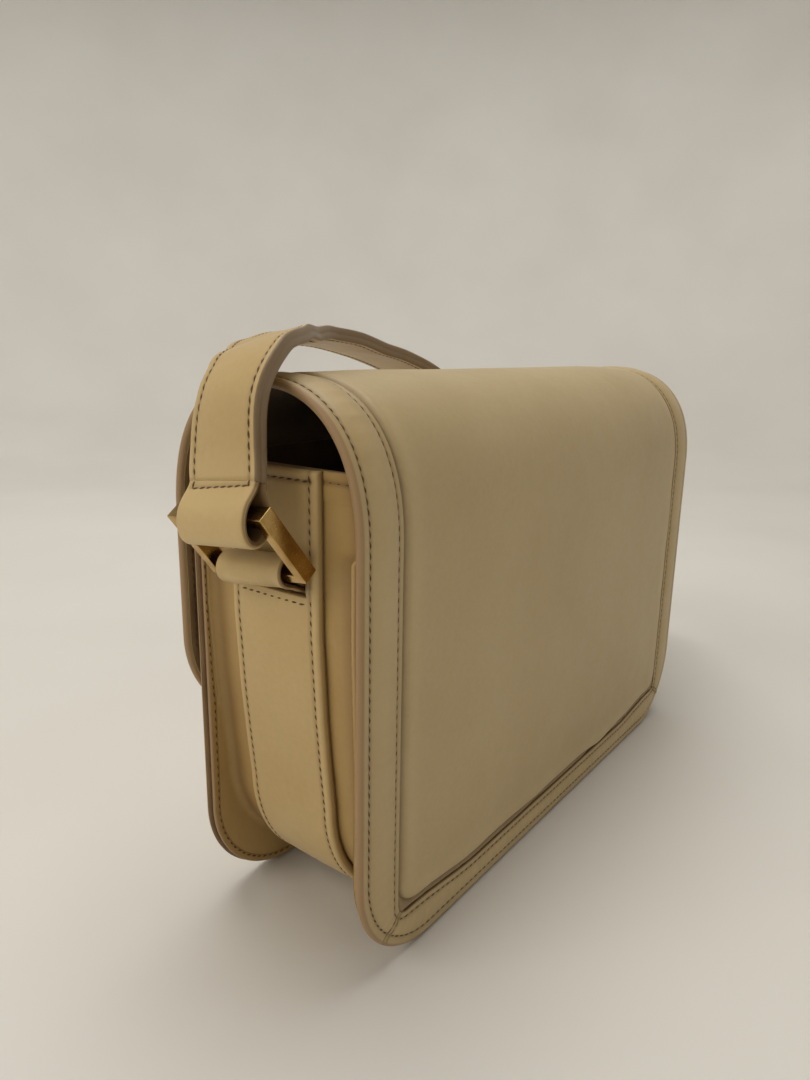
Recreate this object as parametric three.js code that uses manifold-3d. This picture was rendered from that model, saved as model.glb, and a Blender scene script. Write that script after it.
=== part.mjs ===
// A leather satchel: a back that turns over the top into a flap, a front panel, a U-shaped gusset with
// a band sewn on it, and a shoulder strap held by a rectangular ring at each end of the bag.
// Millimetres, +Z up, +X to the right ring, +Y to the back. The bag stands on the edges of its panels.
import * as THREE from 'three';
import Module from 'manifold-3d';

// Bag body
const BAG_WIDTH = 260;
const POCKET_DEPTH = 71.4;
const FLAP_STAND_OFF = 8.6;
const BACK_HEIGHT = 138;
const TOP_RISE = 46.4;
const TOP_POWER = 2.35;
const FLAP_DROP = 77;
const FRONT_RISE = 21.5;
const CORNER_RADIUS = 36;
const FRONT_TOP_RADIUS = 5;

// Leather
const PANEL_SHEET = 1.6;
const BORDER_SHEET = 1.2;
const FIELD_PUFF = 0.6;
const FRONT_SHEET = 2.4;
const GUSSET_SHEET = 1.5;
const BAND_SHEET = 3;
const CHAPE_SHEET = 1.4;
const STRAP_SHEET = 4.6;
const LOOP_SHEET = 2.2;
const SEAT = 0.3;
const EDGE_ROUND = 0.8;

// Border strips and the raised field inside them
const BORDER_SIDE = 18.5;
const BORDER_BOTTOM = 13;
const FIELD_GAP = 1.2;
const FIELD_SLOPE = 2;
const FIELD_CORNER = 7;
const MITRE_TIP = 1.5;

// Gusset and band
const RECESS_TOP = 4.6;
const RECESS_SIDE = 9.4;
const RECESS_BOTTOM = 8.8;
const WEB_RADIUS = 44;
const WEB_BEND = 3;
const BAND_WIDTH = 37;

// Chapes and rings
const CHAPE_WIDTH = 27;
const CHAPE_RISE = 4.25;
const CHAPE_SWING_OUT = 0.7;
const CHAPE_SWING_UP = 0.3;
const SLIT_DROP = 33.7;
const SLIT_SIDE_GAP = 0.6;
const RING_BAR = 3;
const RING_DEPTH = 5.3;
const RING_WIDTH = 41;
const RING_HEIGHT = 24.4;
const RING_SLACK = 0.5;
const RIGHT_RING_ROLL = 7;
const RIGHT_RING_TILT = 35.7;
const LEFT_RING_TILT = 134;

// Strap
const STRAP_WIDTH = 28;
const STRAP_NECK = 9.2;
const LOOP_SLACK = 0.5;
const LOOP_DROP = 8.5;
const NECK_LEAN = 16;
const STRAP_SLIDE = 1;
const STRAP_STATIONS = 84;
const STRAP_CLEARANCE = 1.2;

// Hidden fastener
const SNAP_RADIUS = 7;
const SNAP_HEIGHT = 84;

// How finely the curves are stepped
const CORNER_STEPS = 8;
const TOP_CORNER_STEPS = 3;
const TOP_STEPS = 24;
const WEB_STEPS = 9;
const LOOP_STEPS = 8;
const SNAP_STEPS = 24;
const CHAPE_STEPS = [2, 8, 12, 3, 5, 2];
const BEND_SHARES = [0, 0.25, 0.5, 0.75, 1];

// Leather and metal colours
const LEATHER = 0xb39b70;
const LEATHER_DARK = 0xa08a60;
const BRASS = 0xb08d4a;

// Shares of the web's side: how far down from the hem, and how much of the growth in recess is reached
const SIDE_RECESS = [
  { down: 0, grown: 0 },
  { down: 0.04, grown: 0 },
  { down: 0.08, grown: 0 },
  { down: 0.13, grown: 0 },
  { down: 0.2, grown: 0 },
  { down: 0.45, grown: 0 },
  { down: 0.7, grown: 0.32 },
  { down: 0.87, grown: 0.68 },
  { down: 1, grown: 1 },
];

// The strap's way between its two rings. out is a share of half the bag's width, fore a share of the
// strap's own stand-off from the flap's face, up a share of the bag's height, bank a turn in degrees
const STRAP_ROUTE = [
  { out: 1.089, fore: 0.044, up: 0.889, bank: -2.5 },
  { out: 1.07, fore: 0.041, up: 0.975, bank: -7 },
  { out: 0.995, fore: 0.105, up: 1.025, bank: -10.5 },
  { out: 0.88, fore: 0.247, up: 1.046, bank: -12.5 },
  { out: 0.757, fore: 0.434, up: 1.054, bank: -7 },
  { out: 0.623, fore: 0.576, up: 1.063, bank: -4 },
  { out: 0.475, fore: 0.634, up: 1.059, bank: -2 },
  { out: 0.332, fore: 0.688, up: 1.044, bank: 1 },
  { out: 0.188, fore: 0.739, up: 1.027, bank: 0 },
  { out: -0.008, fore: 0.797, up: 0.991, bank: 0 },
  { out: -0.192, fore: 0.881, up: 0.938, bank: 0 },
  { out: -0.354, fore: 1.008, up: 0.846, bank: 0 },
  { out: -0.477, fore: 1.144, up: 0.727, bank: 0 },
  { out: -0.569, fore: 1.271, up: 0.591, bank: 0 },
  { out: -0.654, fore: 1.381, up: 0.45, bank: 0 },
  { out: -0.754, fore: 1.483, up: 0.304, bank: 0 },
  { out: -0.885, fore: 1.568, up: 0.168, bank: 0 },
  { out: -1.054, fore: 1.619, up: 0.068, bank: 0 },
  { out: -1.246, fore: 1.619, up: 0.021, bank: 0 },
  { out: -1.438, fore: 1.542, up: 0.015, bank: 0 },
  { out: -1.615, fore: 1.407, up: 0.041, bank: 0 },
  { out: -1.746, fore: 1.22, up: 0.098, bank: 0 },
  { out: -1.815, fore: 1, up: 0.184, bank: 0 },
  { out: -1.808, fore: 0.763, up: 0.287, bank: 0 },
  { out: -1.735, fore: 0.542, up: 0.39, bank: 0 },
  { out: -1.608, fore: 0.339, up: 0.48, bank: 0 },
  { out: -1.454, fore: 0.161, up: 0.542, bank: 0 },
  { out: -1.304, fore: 0.047, up: 0.575, bank: 0 },
];

const wasm = await Module();
wasm.setup();

const half = BAG_WIDTH / 2;
const flapDepth = POCKET_DEPTH + FLAP_STAND_OFF;
const frontHeight = BACK_HEIGHT + FRONT_RISE;
const slitLevel = frontHeight - SLIT_DROP;
const backFace = POCKET_DEPTH / 2;
const flapFace = backFace - flapDepth;
const bagHeight = BACK_HEIGHT + TOP_RISE;
const rad = THREE.MathUtils.degToRad;
const mix = THREE.MathUtils.lerp;

// Steps along a quarter turn, from 0 to 1, close together at its start
function quarterSteps(count) {
  const steps = [];
  for (let i = 0; i <= count; i += 1) {
    steps.push(1 - Math.cos((i / count) * Math.PI / 2));
  }
  return steps;
}

// How far a rounded corner pulls an edge in, at a distance from the corner's end
function cornerInset(distance, radius) {
  if (distance >= radius) {
    return 0;
  }
  const rest = radius - distance;
  return radius - Math.sqrt(Math.max(radius * radius - rest * rest, 0));
}

// A closed body from two grids of points with the same rows and columns, one for each face
function slab(upper, lower) {
  const rows = upper.length;
  const columns = upper[0].length;
  const points = [...upper.flat(), ...lower.flat()];
  const top = (r, c) => r * columns + c;
  const bottom = (r, c) => rows * columns + r * columns + c;
  const index = [];
  const quad = (a, b, c, d) => index.push(a, b, c, a, c, d);
  for (let r = 0; r < rows - 1; r += 1) {
    for (let c = 0; c < columns - 1; c += 1) {
      quad(top(r, c), top(r + 1, c), top(r + 1, c + 1), top(r, c + 1));
      quad(bottom(r, c), bottom(r, c + 1), bottom(r + 1, c + 1), bottom(r + 1, c));
    }
    quad(top(r, 0), bottom(r, 0), bottom(r + 1, 0), top(r + 1, 0));
    const last = columns - 1;
    quad(top(r, last), top(r + 1, last), bottom(r + 1, last), bottom(r, last));
  }
  for (let c = 0; c < columns - 1; c += 1) {
    const end = rows - 1;
    quad(top(0, c), top(0, c + 1), bottom(0, c + 1), bottom(0, c));
    quad(top(end, c), bottom(end, c), bottom(end, c + 1), top(end, c + 1));
  }
  return body(points, index);
}

// A geometry from points and triangles, with its faces turned outward
function body(points, index) {
  const positions = new Float32Array(points.flatMap((p) => [p.x, p.y, p.z]));
  const geometry = new THREE.BufferGeometry();
  geometry.setAttribute('position', new THREE.BufferAttribute(positions, 3));
  let volume = 0;
  for (let i = 0; i < index.length; i += 3) {
    const [a, b, c] = [points[index[i]], points[index[i + 1]], points[index[i + 2]]];
    volume += a.dot(new THREE.Vector3().crossVectors(b, c));
  }
  if (volume < 0) {
    for (let i = 0; i < index.length; i += 3) {
      [index[i + 1], index[i + 2]] = [index[i + 2], index[i + 1]];
    }
  }
  geometry.setIndex(index);
  geometry.computeVertexNormals();
  return geometry;
}

// Solids for cutting and joining, and back
function toSolid(geometry) {
  const seen = new Map();
  const vertProperties = [];
  const triVerts = [];
  const position = geometry.getAttribute('position');
  const count = geometry.index ? geometry.index.count : position.count;
  for (let i = 0; i < count; i += 1) {
    const v = geometry.index ? geometry.index.getX(i) : i;
    const xyz = [position.getX(v), position.getY(v), position.getZ(v)];
    const key = xyz.map((value) => value.toFixed(4)).join();
    if (!seen.has(key)) {
      seen.set(key, vertProperties.length / 3);
      vertProperties.push(...xyz);
    }
    triVerts.push(seen.get(key));
  }
  return new wasm.Manifold(new wasm.Mesh({
    numProp: 3,
    vertProperties: new Float32Array(vertProperties),
    triVerts: new Uint32Array(triVerts),
  }));
}

function fromSolid(solid) {
  const mesh = solid.getMesh();
  const geometry = new THREE.BufferGeometry();
  geometry.setAttribute('position', new THREE.BufferAttribute(mesh.vertProperties, 3));
  geometry.setIndex([...mesh.triVerts]);
  geometry.computeVertexNormals();
  return geometry;
}

// The bag's end profile, from the bottom of the back over the top to the end of the flap. Each station
// has its run along the outer face, its place and its outward direction
function endProfile() {
  const stations = [];
  const add = (run, y, z, ny, nz) => stations.push({ run, y, z, ny, nz });
  const bottomSteps = quarterSteps(CORNER_STEPS).map((step) => step * CORNER_RADIUS);
  const fieldStart = BORDER_BOTTOM + FIELD_GAP;
  const fieldSteps = [BORDER_BOTTOM, fieldStart, fieldStart + FIELD_SLOPE, fieldStart + FIELD_CORNER];
  const lower = [...new Set([...bottomSteps, ...fieldSteps])].sort((a, b) => a - b);
  for (const run of lower) {
    add(run, backFace, run, 1, 0);
  }
  const radius = flapDepth / 2;
  const centre = backFace - radius;
  let run = BACK_HEIGHT;
  let before = null;
  for (let i = 0; i <= TOP_STEPS; i += 1) {
    const angle = Math.PI * i / TOP_STEPS;
    const c = Math.cos(angle);
    const s = Math.sin(angle);
    const y = centre + radius * Math.sign(c) * Math.abs(c) ** (2 / TOP_POWER);
    const z = BACK_HEIGHT + TOP_RISE * s ** (2 / TOP_POWER);
    const ny = Math.sign(c) * Math.abs(c) ** (2 - 2 / TOP_POWER) / radius;
    const nz = s ** (2 - 2 / TOP_POWER) / TOP_RISE;
    const length = Math.hypot(ny, nz);
    if (before) {
      run += Math.hypot(y - before.y, z - before.z);
    }
    add(run, y, z, ny / length, nz / length);
    before = { y, z };
  }
  for (const step of lower.toReversed()) {
    add(run + FLAP_DROP - step, flapFace, BACK_HEIGHT - FLAP_DROP + step, -1, 0);
  }
  return stations;
}

const profile = endProfile();
const totalRun = profile.at(-1).run;

// A point on a station, a depth under the outer face
function onProfile(station, x, depth) {
  return new THREE.Vector3(x, station.y - depth * station.ny, station.z - depth * station.nz);
}

// The run from the nearer end of the sheet, and the half width that the rounded corners leave there
const endRun = (station) => Math.min(station.run, totalRun - station.run);
const sheetHalf = (station) => half - cornerInset(endRun(station), CORNER_RADIUS);

// The sheet that is the back, the top and the flap, with its field raised inside the borders
function backFlapPanel() {
  const sheetDepth = BORDER_SHEET + SEAT;
  const fieldStart = BORDER_BOTTOM + FIELD_GAP;
  const upper = [];
  const lower = [];
  for (const station of profile) {
    const edge = sheetHalf(station);
    const into = endRun(station) - fieldStart;
    const corner = cornerInset(Math.max(into, 0), FIELD_CORNER);
    const field = Math.min(half - BORDER_SIDE - FIELD_GAP - corner, edge - 2 * EDGE_ROUND);
    const rise = THREE.MathUtils.clamp(into / FIELD_SLOPE, 0, 1) * (sheetDepth + FIELD_PUFF);
    const inner = field - FIELD_SLOPE;
    const columns = [-edge, -field, -inner, 0, inner, field, edge];
    const rises = [0, 0, rise, rise, rise, 0, 0];
    upper.push(columns.map((x, i) => onProfile(station, x, sheetDepth - rises[i])));
    lower.push(columns.map((x) => onProfile(station, x, sheetDepth + PANEL_SHEET)));
  }
  return slab(upper, lower);
}

// The mitre between a side strip and an end strip runs at 45 degrees from the field's corner
const mitreAt = (station) => half - BORDER_SIDE + Math.max(BORDER_BOTTOM - endRun(station), 0);

// One border strip across the sheet's width, its long edges rounded over
function strip(stations, innerX, outerX) {
  const upper = [];
  const lower = [];
  for (const station of stations) {
    const inner = innerX(station);
    const outer = outerX(station);
    const round = Math.min(EDGE_ROUND, Math.abs(outer - inner) / 3);
    const side = Math.sign(outer - inner);
    const columns = [inner, inner + side * round, outer - side * round, outer];
    const depths = [round / 2, 0, 0, round / 2];
    upper.push(columns.map((x, i) => onProfile(station, x, depths[i])));
    lower.push(columns.map((x) => onProfile(station, x, BORDER_SHEET)));
  }
  return slab(upper, lower);
}

function borderSide(side) {
  const inner = (station) => mitreAt(station);
  const wide = (station) => sheetHalf(station) - inner(station) >= MITRE_TIP;
  return strip(profile.filter(wide), (s) => side * inner(s), (s) => side * sheetHalf(s));
}

function borderEnd(atBack) {
  const near = (station) => (atBack ? station.run : totalRun - station.run) <= BORDER_BOTTOM;
  const reach = (station) => Math.min(sheetHalf(station), mitreAt(station) - SEAT);
  return strip(profile.filter(near), (s) => -reach(s), (s) => reach(s));
}

// The flat panel under the flap
const frontFace = -backFace;

function frontPanel() {
  const lowerSteps = quarterSteps(CORNER_STEPS).map((step) => step * CORNER_RADIUS);
  const upperSteps = quarterSteps(TOP_CORNER_STEPS).map((step) => frontHeight - step * FRONT_TOP_RADIUS);
  const levels = [...lowerSteps, ...upperSteps.toReversed()];
  const grid = (y) => levels.map((z) => {
    const inset = cornerInset(z, CORNER_RADIUS) + cornerInset(frontHeight - z, FRONT_TOP_RADIUS);
    return [-1, 0, 1].map((side) => new THREE.Vector3(side * (half - inset), y, z));
  });
  return slab(grid(frontFace), grid(frontFace + FRONT_SHEET));
}

// The gusset's web as seen from the front: down one side, round the corners and along the bottom.
// Each station has its point, its outward direction and the recess under the panels' outline
function webStations() {
  const sideFoot = RECESS_BOTTOM + WEB_RADIUS;
  const drop = frontHeight - sideFoot;
  const side = SIDE_RECESS.map((row) => ({
    x: half - mix(RECESS_TOP, RECESS_SIDE, row.grown),
    z: frontHeight - row.down * drop,
    ox: 1,
    oz: 0,
  }));
  const centreX = half - RECESS_SIDE - WEB_RADIUS;
  const corner = [];
  for (let i = 1; i <= WEB_STEPS; i += 1) {
    const angle = (i / WEB_STEPS) * Math.PI / 2;
    corner.push({
      x: centreX + WEB_RADIUS * Math.cos(angle),
      z: sideFoot - WEB_RADIUS * Math.sin(angle),
      ox: Math.cos(angle),
      oz: -Math.sin(angle),
    });
  }
  const right = [...side, ...corner];
  const left = right.map((s) => ({ x: -s.x, z: s.z, ox: -s.ox, oz: s.oz })).toReversed();
  return [...right, ...left].map((s) => ({ ...s, recess: outlineDistance(s) }));
}

// How far the panels' rounded outline lies from a point of the web, along the web's outward direction
function outlineDistance({ x, z, ox, oz }) {
  const side = Math.abs(ox) > 1e-9 ? (half - Math.abs(x)) / Math.abs(ox) : Infinity;
  const down = oz < -1e-9 ? z / -oz : Infinity;
  const flat = Math.min(side, down);
  const hitX = Math.abs(x) + Math.abs(ox) * flat;
  const hitZ = z + oz * flat;
  const cx = half - CORNER_RADIUS;
  if (hitX <= cx || hitZ >= CORNER_RADIUS) {
    return flat;
  }
  const dx = Math.abs(x) - cx;
  const dz = z - CORNER_RADIUS;
  const along = dx * Math.abs(ox) + dz * oz;
  return -along + Math.sqrt(along * along - dx * dx - dz * dz + CORNER_RADIUS ** 2);
}

const web = webStations();
const gussetFront = frontFace + FRONT_SHEET + SEAT;
const gussetBack = backFace - BORDER_SHEET - SEAT - PANEL_SHEET - SEAT;
const gussetMiddle = (gussetFront + gussetBack) / 2;

// How far the back's inner face leans in towards the front at a height, where the top curve begins
function backLean(z) {
  const depth = BORDER_SHEET + SEAT + PANEL_SHEET + SEAT;
  const inner = profile.map((station) => onProfile(station, 0, depth));
  const above = inner.findIndex((p) => p.z >= z);
  if (above < 1) {
    return 0;
  }
  const [low, high] = [inner[above - 1], inner[above]];
  return gussetBack - mix(low.y, high.y, (z - low.z) / (high.z - low.z));
}

// A point over the web, at a height over its outer face
function onWeb(station, y, height) {
  return new THREE.Vector3(station.x + station.ox * height, y, station.z + station.oz * height);
}

function gusset() {
  const section = (recess, offset, lean) => {
    const radius = WEB_BEND + offset;
    const front = BEND_SHARES.map((step) => {
      const angle = step * Math.PI / 2;
      return {
        y: gussetFront + GUSSET_SHEET + WEB_BEND - radius * Math.cos(angle),
        height: WEB_BEND - radius * Math.sin(angle),
      };
    });
    const tip = { y: gussetFront + GUSSET_SHEET - offset, height: recess };
    const side = [tip, ...front];
    const back = side.map((p) => ({ y: 2 * gussetMiddle - p.y - lean, height: p.height })).toReversed();
    return [...side, ...back];
  };
  const grid = (offset) => web.map((station) => (
    section(station.recess, offset, backLean(station.z)).map((p) => onWeb(station, p.y, p.height))
  ));
  return slab(grid(0), grid(GUSSET_SHEET));
}

// The band on the web, with a slit on each side for the chape
function bandBody() {
  const edge = BAND_WIDTH / 2;
  const columns = [-edge, -edge + EDGE_ROUND, edge - EDGE_ROUND, edge];
  const rounds = [EDGE_ROUND, 0, 0, EDGE_ROUND];
  const grid = (height, rounded) => web.map((station) => columns.map((y, i) => (
    onWeb(station, gussetMiddle + y, height - (rounded ? rounds[i] : 0))
  )));
  return slab(grid(SEAT + BAND_SHEET, true), grid(SEAT, false));
}

const slitHeight = 2 * CHAPE_SHEET + 3 * SEAT;
const bandOutside = half - RECESS_TOP + SEAT + BAND_SHEET;

function gussetBand() {
  let solid = toSolid(bandBody());
  for (const side of [1, -1]) {
    const width = CHAPE_WIDTH + 2 * SLIT_SIDE_GAP;
    const box = new THREE.BoxGeometry(4 * BAND_SHEET, width, slitHeight);
    box.translate(side * bandOutside, gussetMiddle, slitLevel);
    solid = solid.subtract(toSolid(box));
  }
  return fromSolid(solid);
}

// The bar that a chape holds, from its middle to its corners, and the loop of the chape round it
const barCorner = Math.hypot(RING_BAR, RING_DEPTH) / 2;
const barReach = barCorner + RING_SLACK;
const chapeOuter = barReach + CHAPE_SHEET;
const heldBarX = bandOutside + SEAT + chapeOuter;
const heldBarZ = slitLevel + CHAPE_RISE;

// The middle of the chape's leather, out of the slit, round the bar and back into the slit
function chapePath() {
  const ply = CHAPE_SHEET / 2;
  const mid = barReach + ply;
  const slitPly = SEAT / 2 + ply;
  const inside = half - RECESS_TOP + 2 * SEAT;
  const lowZ = slitLevel - slitPly;
  const highZ = slitLevel + slitPly;
  const slitTop = slitLevel + slitHeight / 2;
  const path = new THREE.CurvePath();
  const at = (x, z) => new THREE.Vector2(x, z);
  const outX = heldBarX + mid;
  const backX = heldBarX - mid;
  path.add(new THREE.LineCurve(at(inside, lowZ), at(bandOutside, lowZ)));
  path.add(new THREE.CubicBezierCurve(
    at(bandOutside, lowZ),
    at(mix(bandOutside, outX, CHAPE_SWING_OUT), lowZ),
    at(outX, mix(lowZ, heldBarZ, CHAPE_SWING_UP)),
    at(outX, heldBarZ),
  ));
  const loop = new THREE.EllipseCurve(heldBarX, heldBarZ, mid, mid, 0, Math.PI, false);
  path.add(loop);
  path.add(new THREE.LineCurve(at(backX, heldBarZ), at(backX, slitTop)));
  path.add(new THREE.EllipseCurve(bandOutside, slitTop, SEAT + ply, SEAT + ply, 0, -Math.PI / 2, true));
  path.add(new THREE.LineCurve(at(bandOutside, highZ), at(inside, highZ)));
  return path;
}

function chape(side, roll) {
  const path = chapePath();
  const samples = [];
  path.curves.forEach((curve, c) => {
    for (let i = c === 0 ? 0 : 1; i <= CHAPE_STEPS[c]; i += 1) {
      const t = i / CHAPE_STEPS[c];
      samples.push({ point: curve.getPoint(t), tangent: curve.getTangent(t) });
    }
  });
  const edge = CHAPE_WIDTH / 2;
  const lean = Math.tan(rad(roll));
  const grid = (offset) => samples.map(({ point, tangent }) => [-edge, 0, edge].map((y) => {
    const x = point.x + tangent.y * offset;
    const z = point.y - tangent.x * offset;
    const risen = THREE.MathUtils.smoothstep(point.y, slitLevel + CHAPE_SHEET, heldBarZ);
    const out = THREE.MathUtils.smoothstep(point.x, bandOutside, heldBarX - SEAT);
    const free = Math.max(risen, out);
    return new THREE.Vector3(side * x, gussetMiddle + y, z + y * lean * free);
  }));
  return slab(grid(CHAPE_SHEET / 2), grid(-CHAPE_SHEET / 2));
}

// A ring's frame: across is along its bars, up runs from the held bar to the strap's bar
function ringFrame(side, tilt, roll) {
  const held = new THREE.Vector3(side * heldBarX, gussetMiddle, heldBarZ);
  const across = new THREE.Vector3(0, Math.cos(rad(roll)), Math.sin(rad(roll)));
  const out = new THREE.Vector3(side, 0, 0);
  const rise = new THREE.Vector3().crossVectors(new THREE.Vector3(1, 0, 0), across);
  const up = out.multiplyScalar(Math.sin(rad(tilt))).addScaledVector(rise, Math.cos(rad(tilt)));
  const face = new THREE.Vector3().crossVectors(across, up);
  const strapBar = held.clone().addScaledVector(up, RING_HEIGHT - RING_BAR);
  const strapEnd = strapBar.clone().addScaledVector(across, STRAP_SLIDE);
  return { held, across, up, face, strapBar, strapEnd };
}

// A rectangular ring of flat bar, deeper than it is wide
function ring(frame) {
  const middle = frame.held.clone().add(frame.strapBar).multiplyScalar(0.5);
  const w = RING_WIDTH / 2;
  const h = RING_HEIGHT / 2;
  const depth = RING_DEPTH / 2;
  const rows = [[1, 1], [-1, 1], [-1, -1], [1, -1]];
  const section = [[0, -depth], [0, depth], [RING_BAR, depth], [RING_BAR, -depth]];
  const points = [];
  for (const [sx, sy] of rows) {
    for (const [inset, lift] of section) {
      points.push(middle.clone()
        .addScaledVector(frame.across, sx * (w - inset))
        .addScaledVector(frame.up, sy * (h - inset))
        .addScaledVector(frame.face, lift));
    }
  }
  const index = [];
  for (let r = 0; r < rows.length; r += 1) {
    for (let c = 0; c < section.length; c += 1) {
      const next = (r + 1) % rows.length;
      const side = (c + 1) % section.length;
      const [a, d] = [r * 4 + c, r * 4 + side];
      const [e, f] = [next * 4 + c, next * 4 + side];
      index.push(a, e, f, a, f, d);
    }
  }
  return body(points, index);
}

const rightRing = ringFrame(1, RIGHT_RING_TILT, RIGHT_RING_ROLL);
const leftRing = ringFrame(-1, LEFT_RING_TILT, 0);

// The strap's stand-off in front of the flap, where its inner edge clears the flap's face
const strapFore = -flapFace + STRAP_WIDTH / 2 + STRAP_CLEARANCE;

// The strap's middle line, from the neck at the right ring to the neck at the left ring
function strapCurve() {
  const rise = new THREE.Vector3(0, -rightRing.across.z, rightRing.across.y);
  const rightUp = rise.applyAxisAngle(rightRing.across, -rad(NECK_LEAN));
  const start = rightRing.strapEnd.clone().addScaledVector(rightUp, STRAP_NECK);
  const end = leftRing.strapEnd.clone().addScaledVector(leftRing.up, STRAP_NECK);
  const middle = STRAP_ROUTE.map((row) => new THREE.Vector3(
    row.out * half,
    gussetMiddle - row.fore * strapFore,
    Math.max(row.up * bagHeight, STRAP_SHEET / 2),
  ));
  const points = [start, ...middle, end];
  return { curve: new THREE.CatmullRomCurve3(points, false, 'centripetal'), rightUp };
}

const strapLine = strapCurve();

// The strap's cross direction: level, square to its run, with a small bank
function strapAcross(tangent, bank) {
  const across = new THREE.Vector3(0, 1, 0).addScaledVector(tangent, -tangent.y).normalize();
  return across.applyAxisAngle(tangent, rad(bank));
}

function bankAt(t) {
  const place = t * (STRAP_ROUTE.length + 1) - 1;
  const low = THREE.MathUtils.clamp(Math.floor(place), 0, STRAP_ROUTE.length - 1);
  const high = Math.min(low + 1, STRAP_ROUTE.length - 1);
  return mix(STRAP_ROUTE[low].bank, STRAP_ROUTE[high].bank, THREE.MathUtils.clamp(place - low, 0, 1));
}

function strapRibbon() {
  const edge = STRAP_WIDTH / 2;
  const columns = [-edge, -edge + EDGE_ROUND, edge - EDGE_ROUND, edge];
  const rounds = [EDGE_ROUND, 0, 0, EDGE_ROUND];
  const upper = [];
  const lower = [];
  for (let i = 0; i <= STRAP_STATIONS; i += 1) {
    const u = i / STRAP_STATIONS;
    const point = strapLine.curve.getPointAt(u);
    const tangent = strapLine.curve.getTangentAt(u);
    const ends = Math.min(i, STRAP_STATIONS - i);
    if (ends === 0) {
      tangent.copy(i === 0 ? strapLine.rightUp : leftRing.up.clone().negate());
    }
    const across = strapAcross(tangent, bankAt(strapLine.curve.getUtoTmapping(u)));
    const normal = new THREE.Vector3().crossVectors(tangent, across);
    const row = (lift) => columns.map((y, c) => point.clone()
      .addScaledVector(across, y)
      .addScaledVector(normal, lift * (STRAP_SHEET / 2 - rounds[c])));
    upper.push(row(1));
    lower.push(row(-1));
  }
  return slab(upper, lower);
}

// The loop of leather at a strap's end, round the ring's bar, drawn with its neck up
function endLoop(frame, up) {
  const inner = barCorner + LOOP_SLACK;
  const outer = inner + LOOP_SHEET;
  const drop = LOOP_DROP - LOOP_SHEET;
  const neck = STRAP_SHEET / 2;
  const neckTop = STRAP_NECK + EDGE_ROUND;
  const holeTop = STRAP_NECK - LOOP_SHEET;
  const shape = new THREE.Shape();
  shape.moveTo(neck, neckTop);
  shape.lineTo(neck, STRAP_NECK - EDGE_ROUND);
  shape.bezierCurveTo(neck, STRAP_NECK / 2, outer, STRAP_NECK / 2, outer, 0);
  shape.absellipse(0, 0, outer, LOOP_DROP, 0, -Math.PI, true, 0);
  shape.bezierCurveTo(-outer, STRAP_NECK / 2, -neck, STRAP_NECK / 2, -neck, STRAP_NECK - EDGE_ROUND);
  shape.lineTo(-neck, neckTop);
  shape.closePath();
  const hole = new THREE.Path();
  hole.moveTo(inner, 0);
  hole.bezierCurveTo(inner, holeTop / 2, neck / 2, holeTop, 0, holeTop);
  hole.bezierCurveTo(-neck / 2, holeTop, -inner, holeTop / 2, -inner, 0);
  hole.absellipse(0, 0, inner, drop, Math.PI, 2 * Math.PI, false, 0);
  shape.holes.push(hole);
  const geometry = new THREE.ExtrudeGeometry(shape, {
    depth: STRAP_WIDTH,
    bevelEnabled: false,
    curveSegments: LOOP_STEPS,
    steps: 1,
  });
  geometry.translate(0, 0, -STRAP_WIDTH / 2);
  const out = new THREE.Vector3().crossVectors(up, frame.across);
  const basis = new THREE.Matrix4().makeBasis(out, up, frame.across);
  basis.setPosition(frame.strapEnd);
  return geometry.applyMatrix4(basis);
}

function strap() {
  const solid = toSolid(strapRibbon())
    .add(toSolid(endLoop(rightRing, strapLine.rightUp)))
    .add(toSolid(endLoop(leftRing, leftRing.up)));
  return fromSolid(solid);
}

// The round fastener between the flap's inner face and the front panel
function snap() {
  const flapInner = flapFace + BORDER_SHEET + SEAT + PANEL_SHEET;
  const depth = frontFace - flapInner - 2 * SEAT;
  const geometry = new THREE.CylinderGeometry(SNAP_RADIUS, SNAP_RADIUS, depth, SNAP_STEPS);
  geometry.translate(0, (frontFace + flapInner) / 2, SNAP_HEIGHT);
  return geometry;
}

const satchel = new THREE.Group();

function addPiece(name, geometry, color, roughness, metalness) {
  const material = new THREE.MeshStandardMaterial({ color, roughness, metalness });
  const mesh = new THREE.Mesh(geometry, material);
  mesh.name = name;
  satchel.add(mesh);
}

addPiece('back_flap_panel', backFlapPanel(), LEATHER, 0.55, 0);
addPiece('border_side_right', borderSide(1), LEATHER, 0.55, 0);
addPiece('border_side_left', borderSide(-1), LEATHER, 0.55, 0);
addPiece('border_back_bottom', borderEnd(true), LEATHER, 0.55, 0);
addPiece('border_flap_bottom', borderEnd(false), LEATHER, 0.55, 0);
addPiece('front_panel', frontPanel(), LEATHER, 0.55, 0);
addPiece('gusset', gusset(), LEATHER_DARK, 0.6, 0);
addPiece('gusset_band', gussetBand(), LEATHER, 0.55, 0);
addPiece('chape_right', chape(1, RIGHT_RING_ROLL), LEATHER, 0.55, 0);
addPiece('chape_left', chape(-1, 0), LEATHER, 0.55, 0);
addPiece('ring_right', ring(rightRing), BRASS, 0.25, 1);
addPiece('ring_left', ring(leftRing), BRASS, 0.25, 1);
addPiece('strap', strap(), LEATHER, 0.5, 0);
addPiece('snap', snap(), BRASS, 0.3, 1);

// The origin is the middle of the whole thing's footprint, on the surface that it stands on
satchel.updateMatrixWorld(true);
const extent = new THREE.Box3().setFromObject(satchel, true);
const centre = extent.getCenter(new THREE.Vector3());
satchel.position.set(-centre.x, -centre.y, -extent.min.z);

export default satchel;
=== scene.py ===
import math

import bmesh
import bpy
import numpy as np
from mathutils import Matrix, Vector, noise


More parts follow.
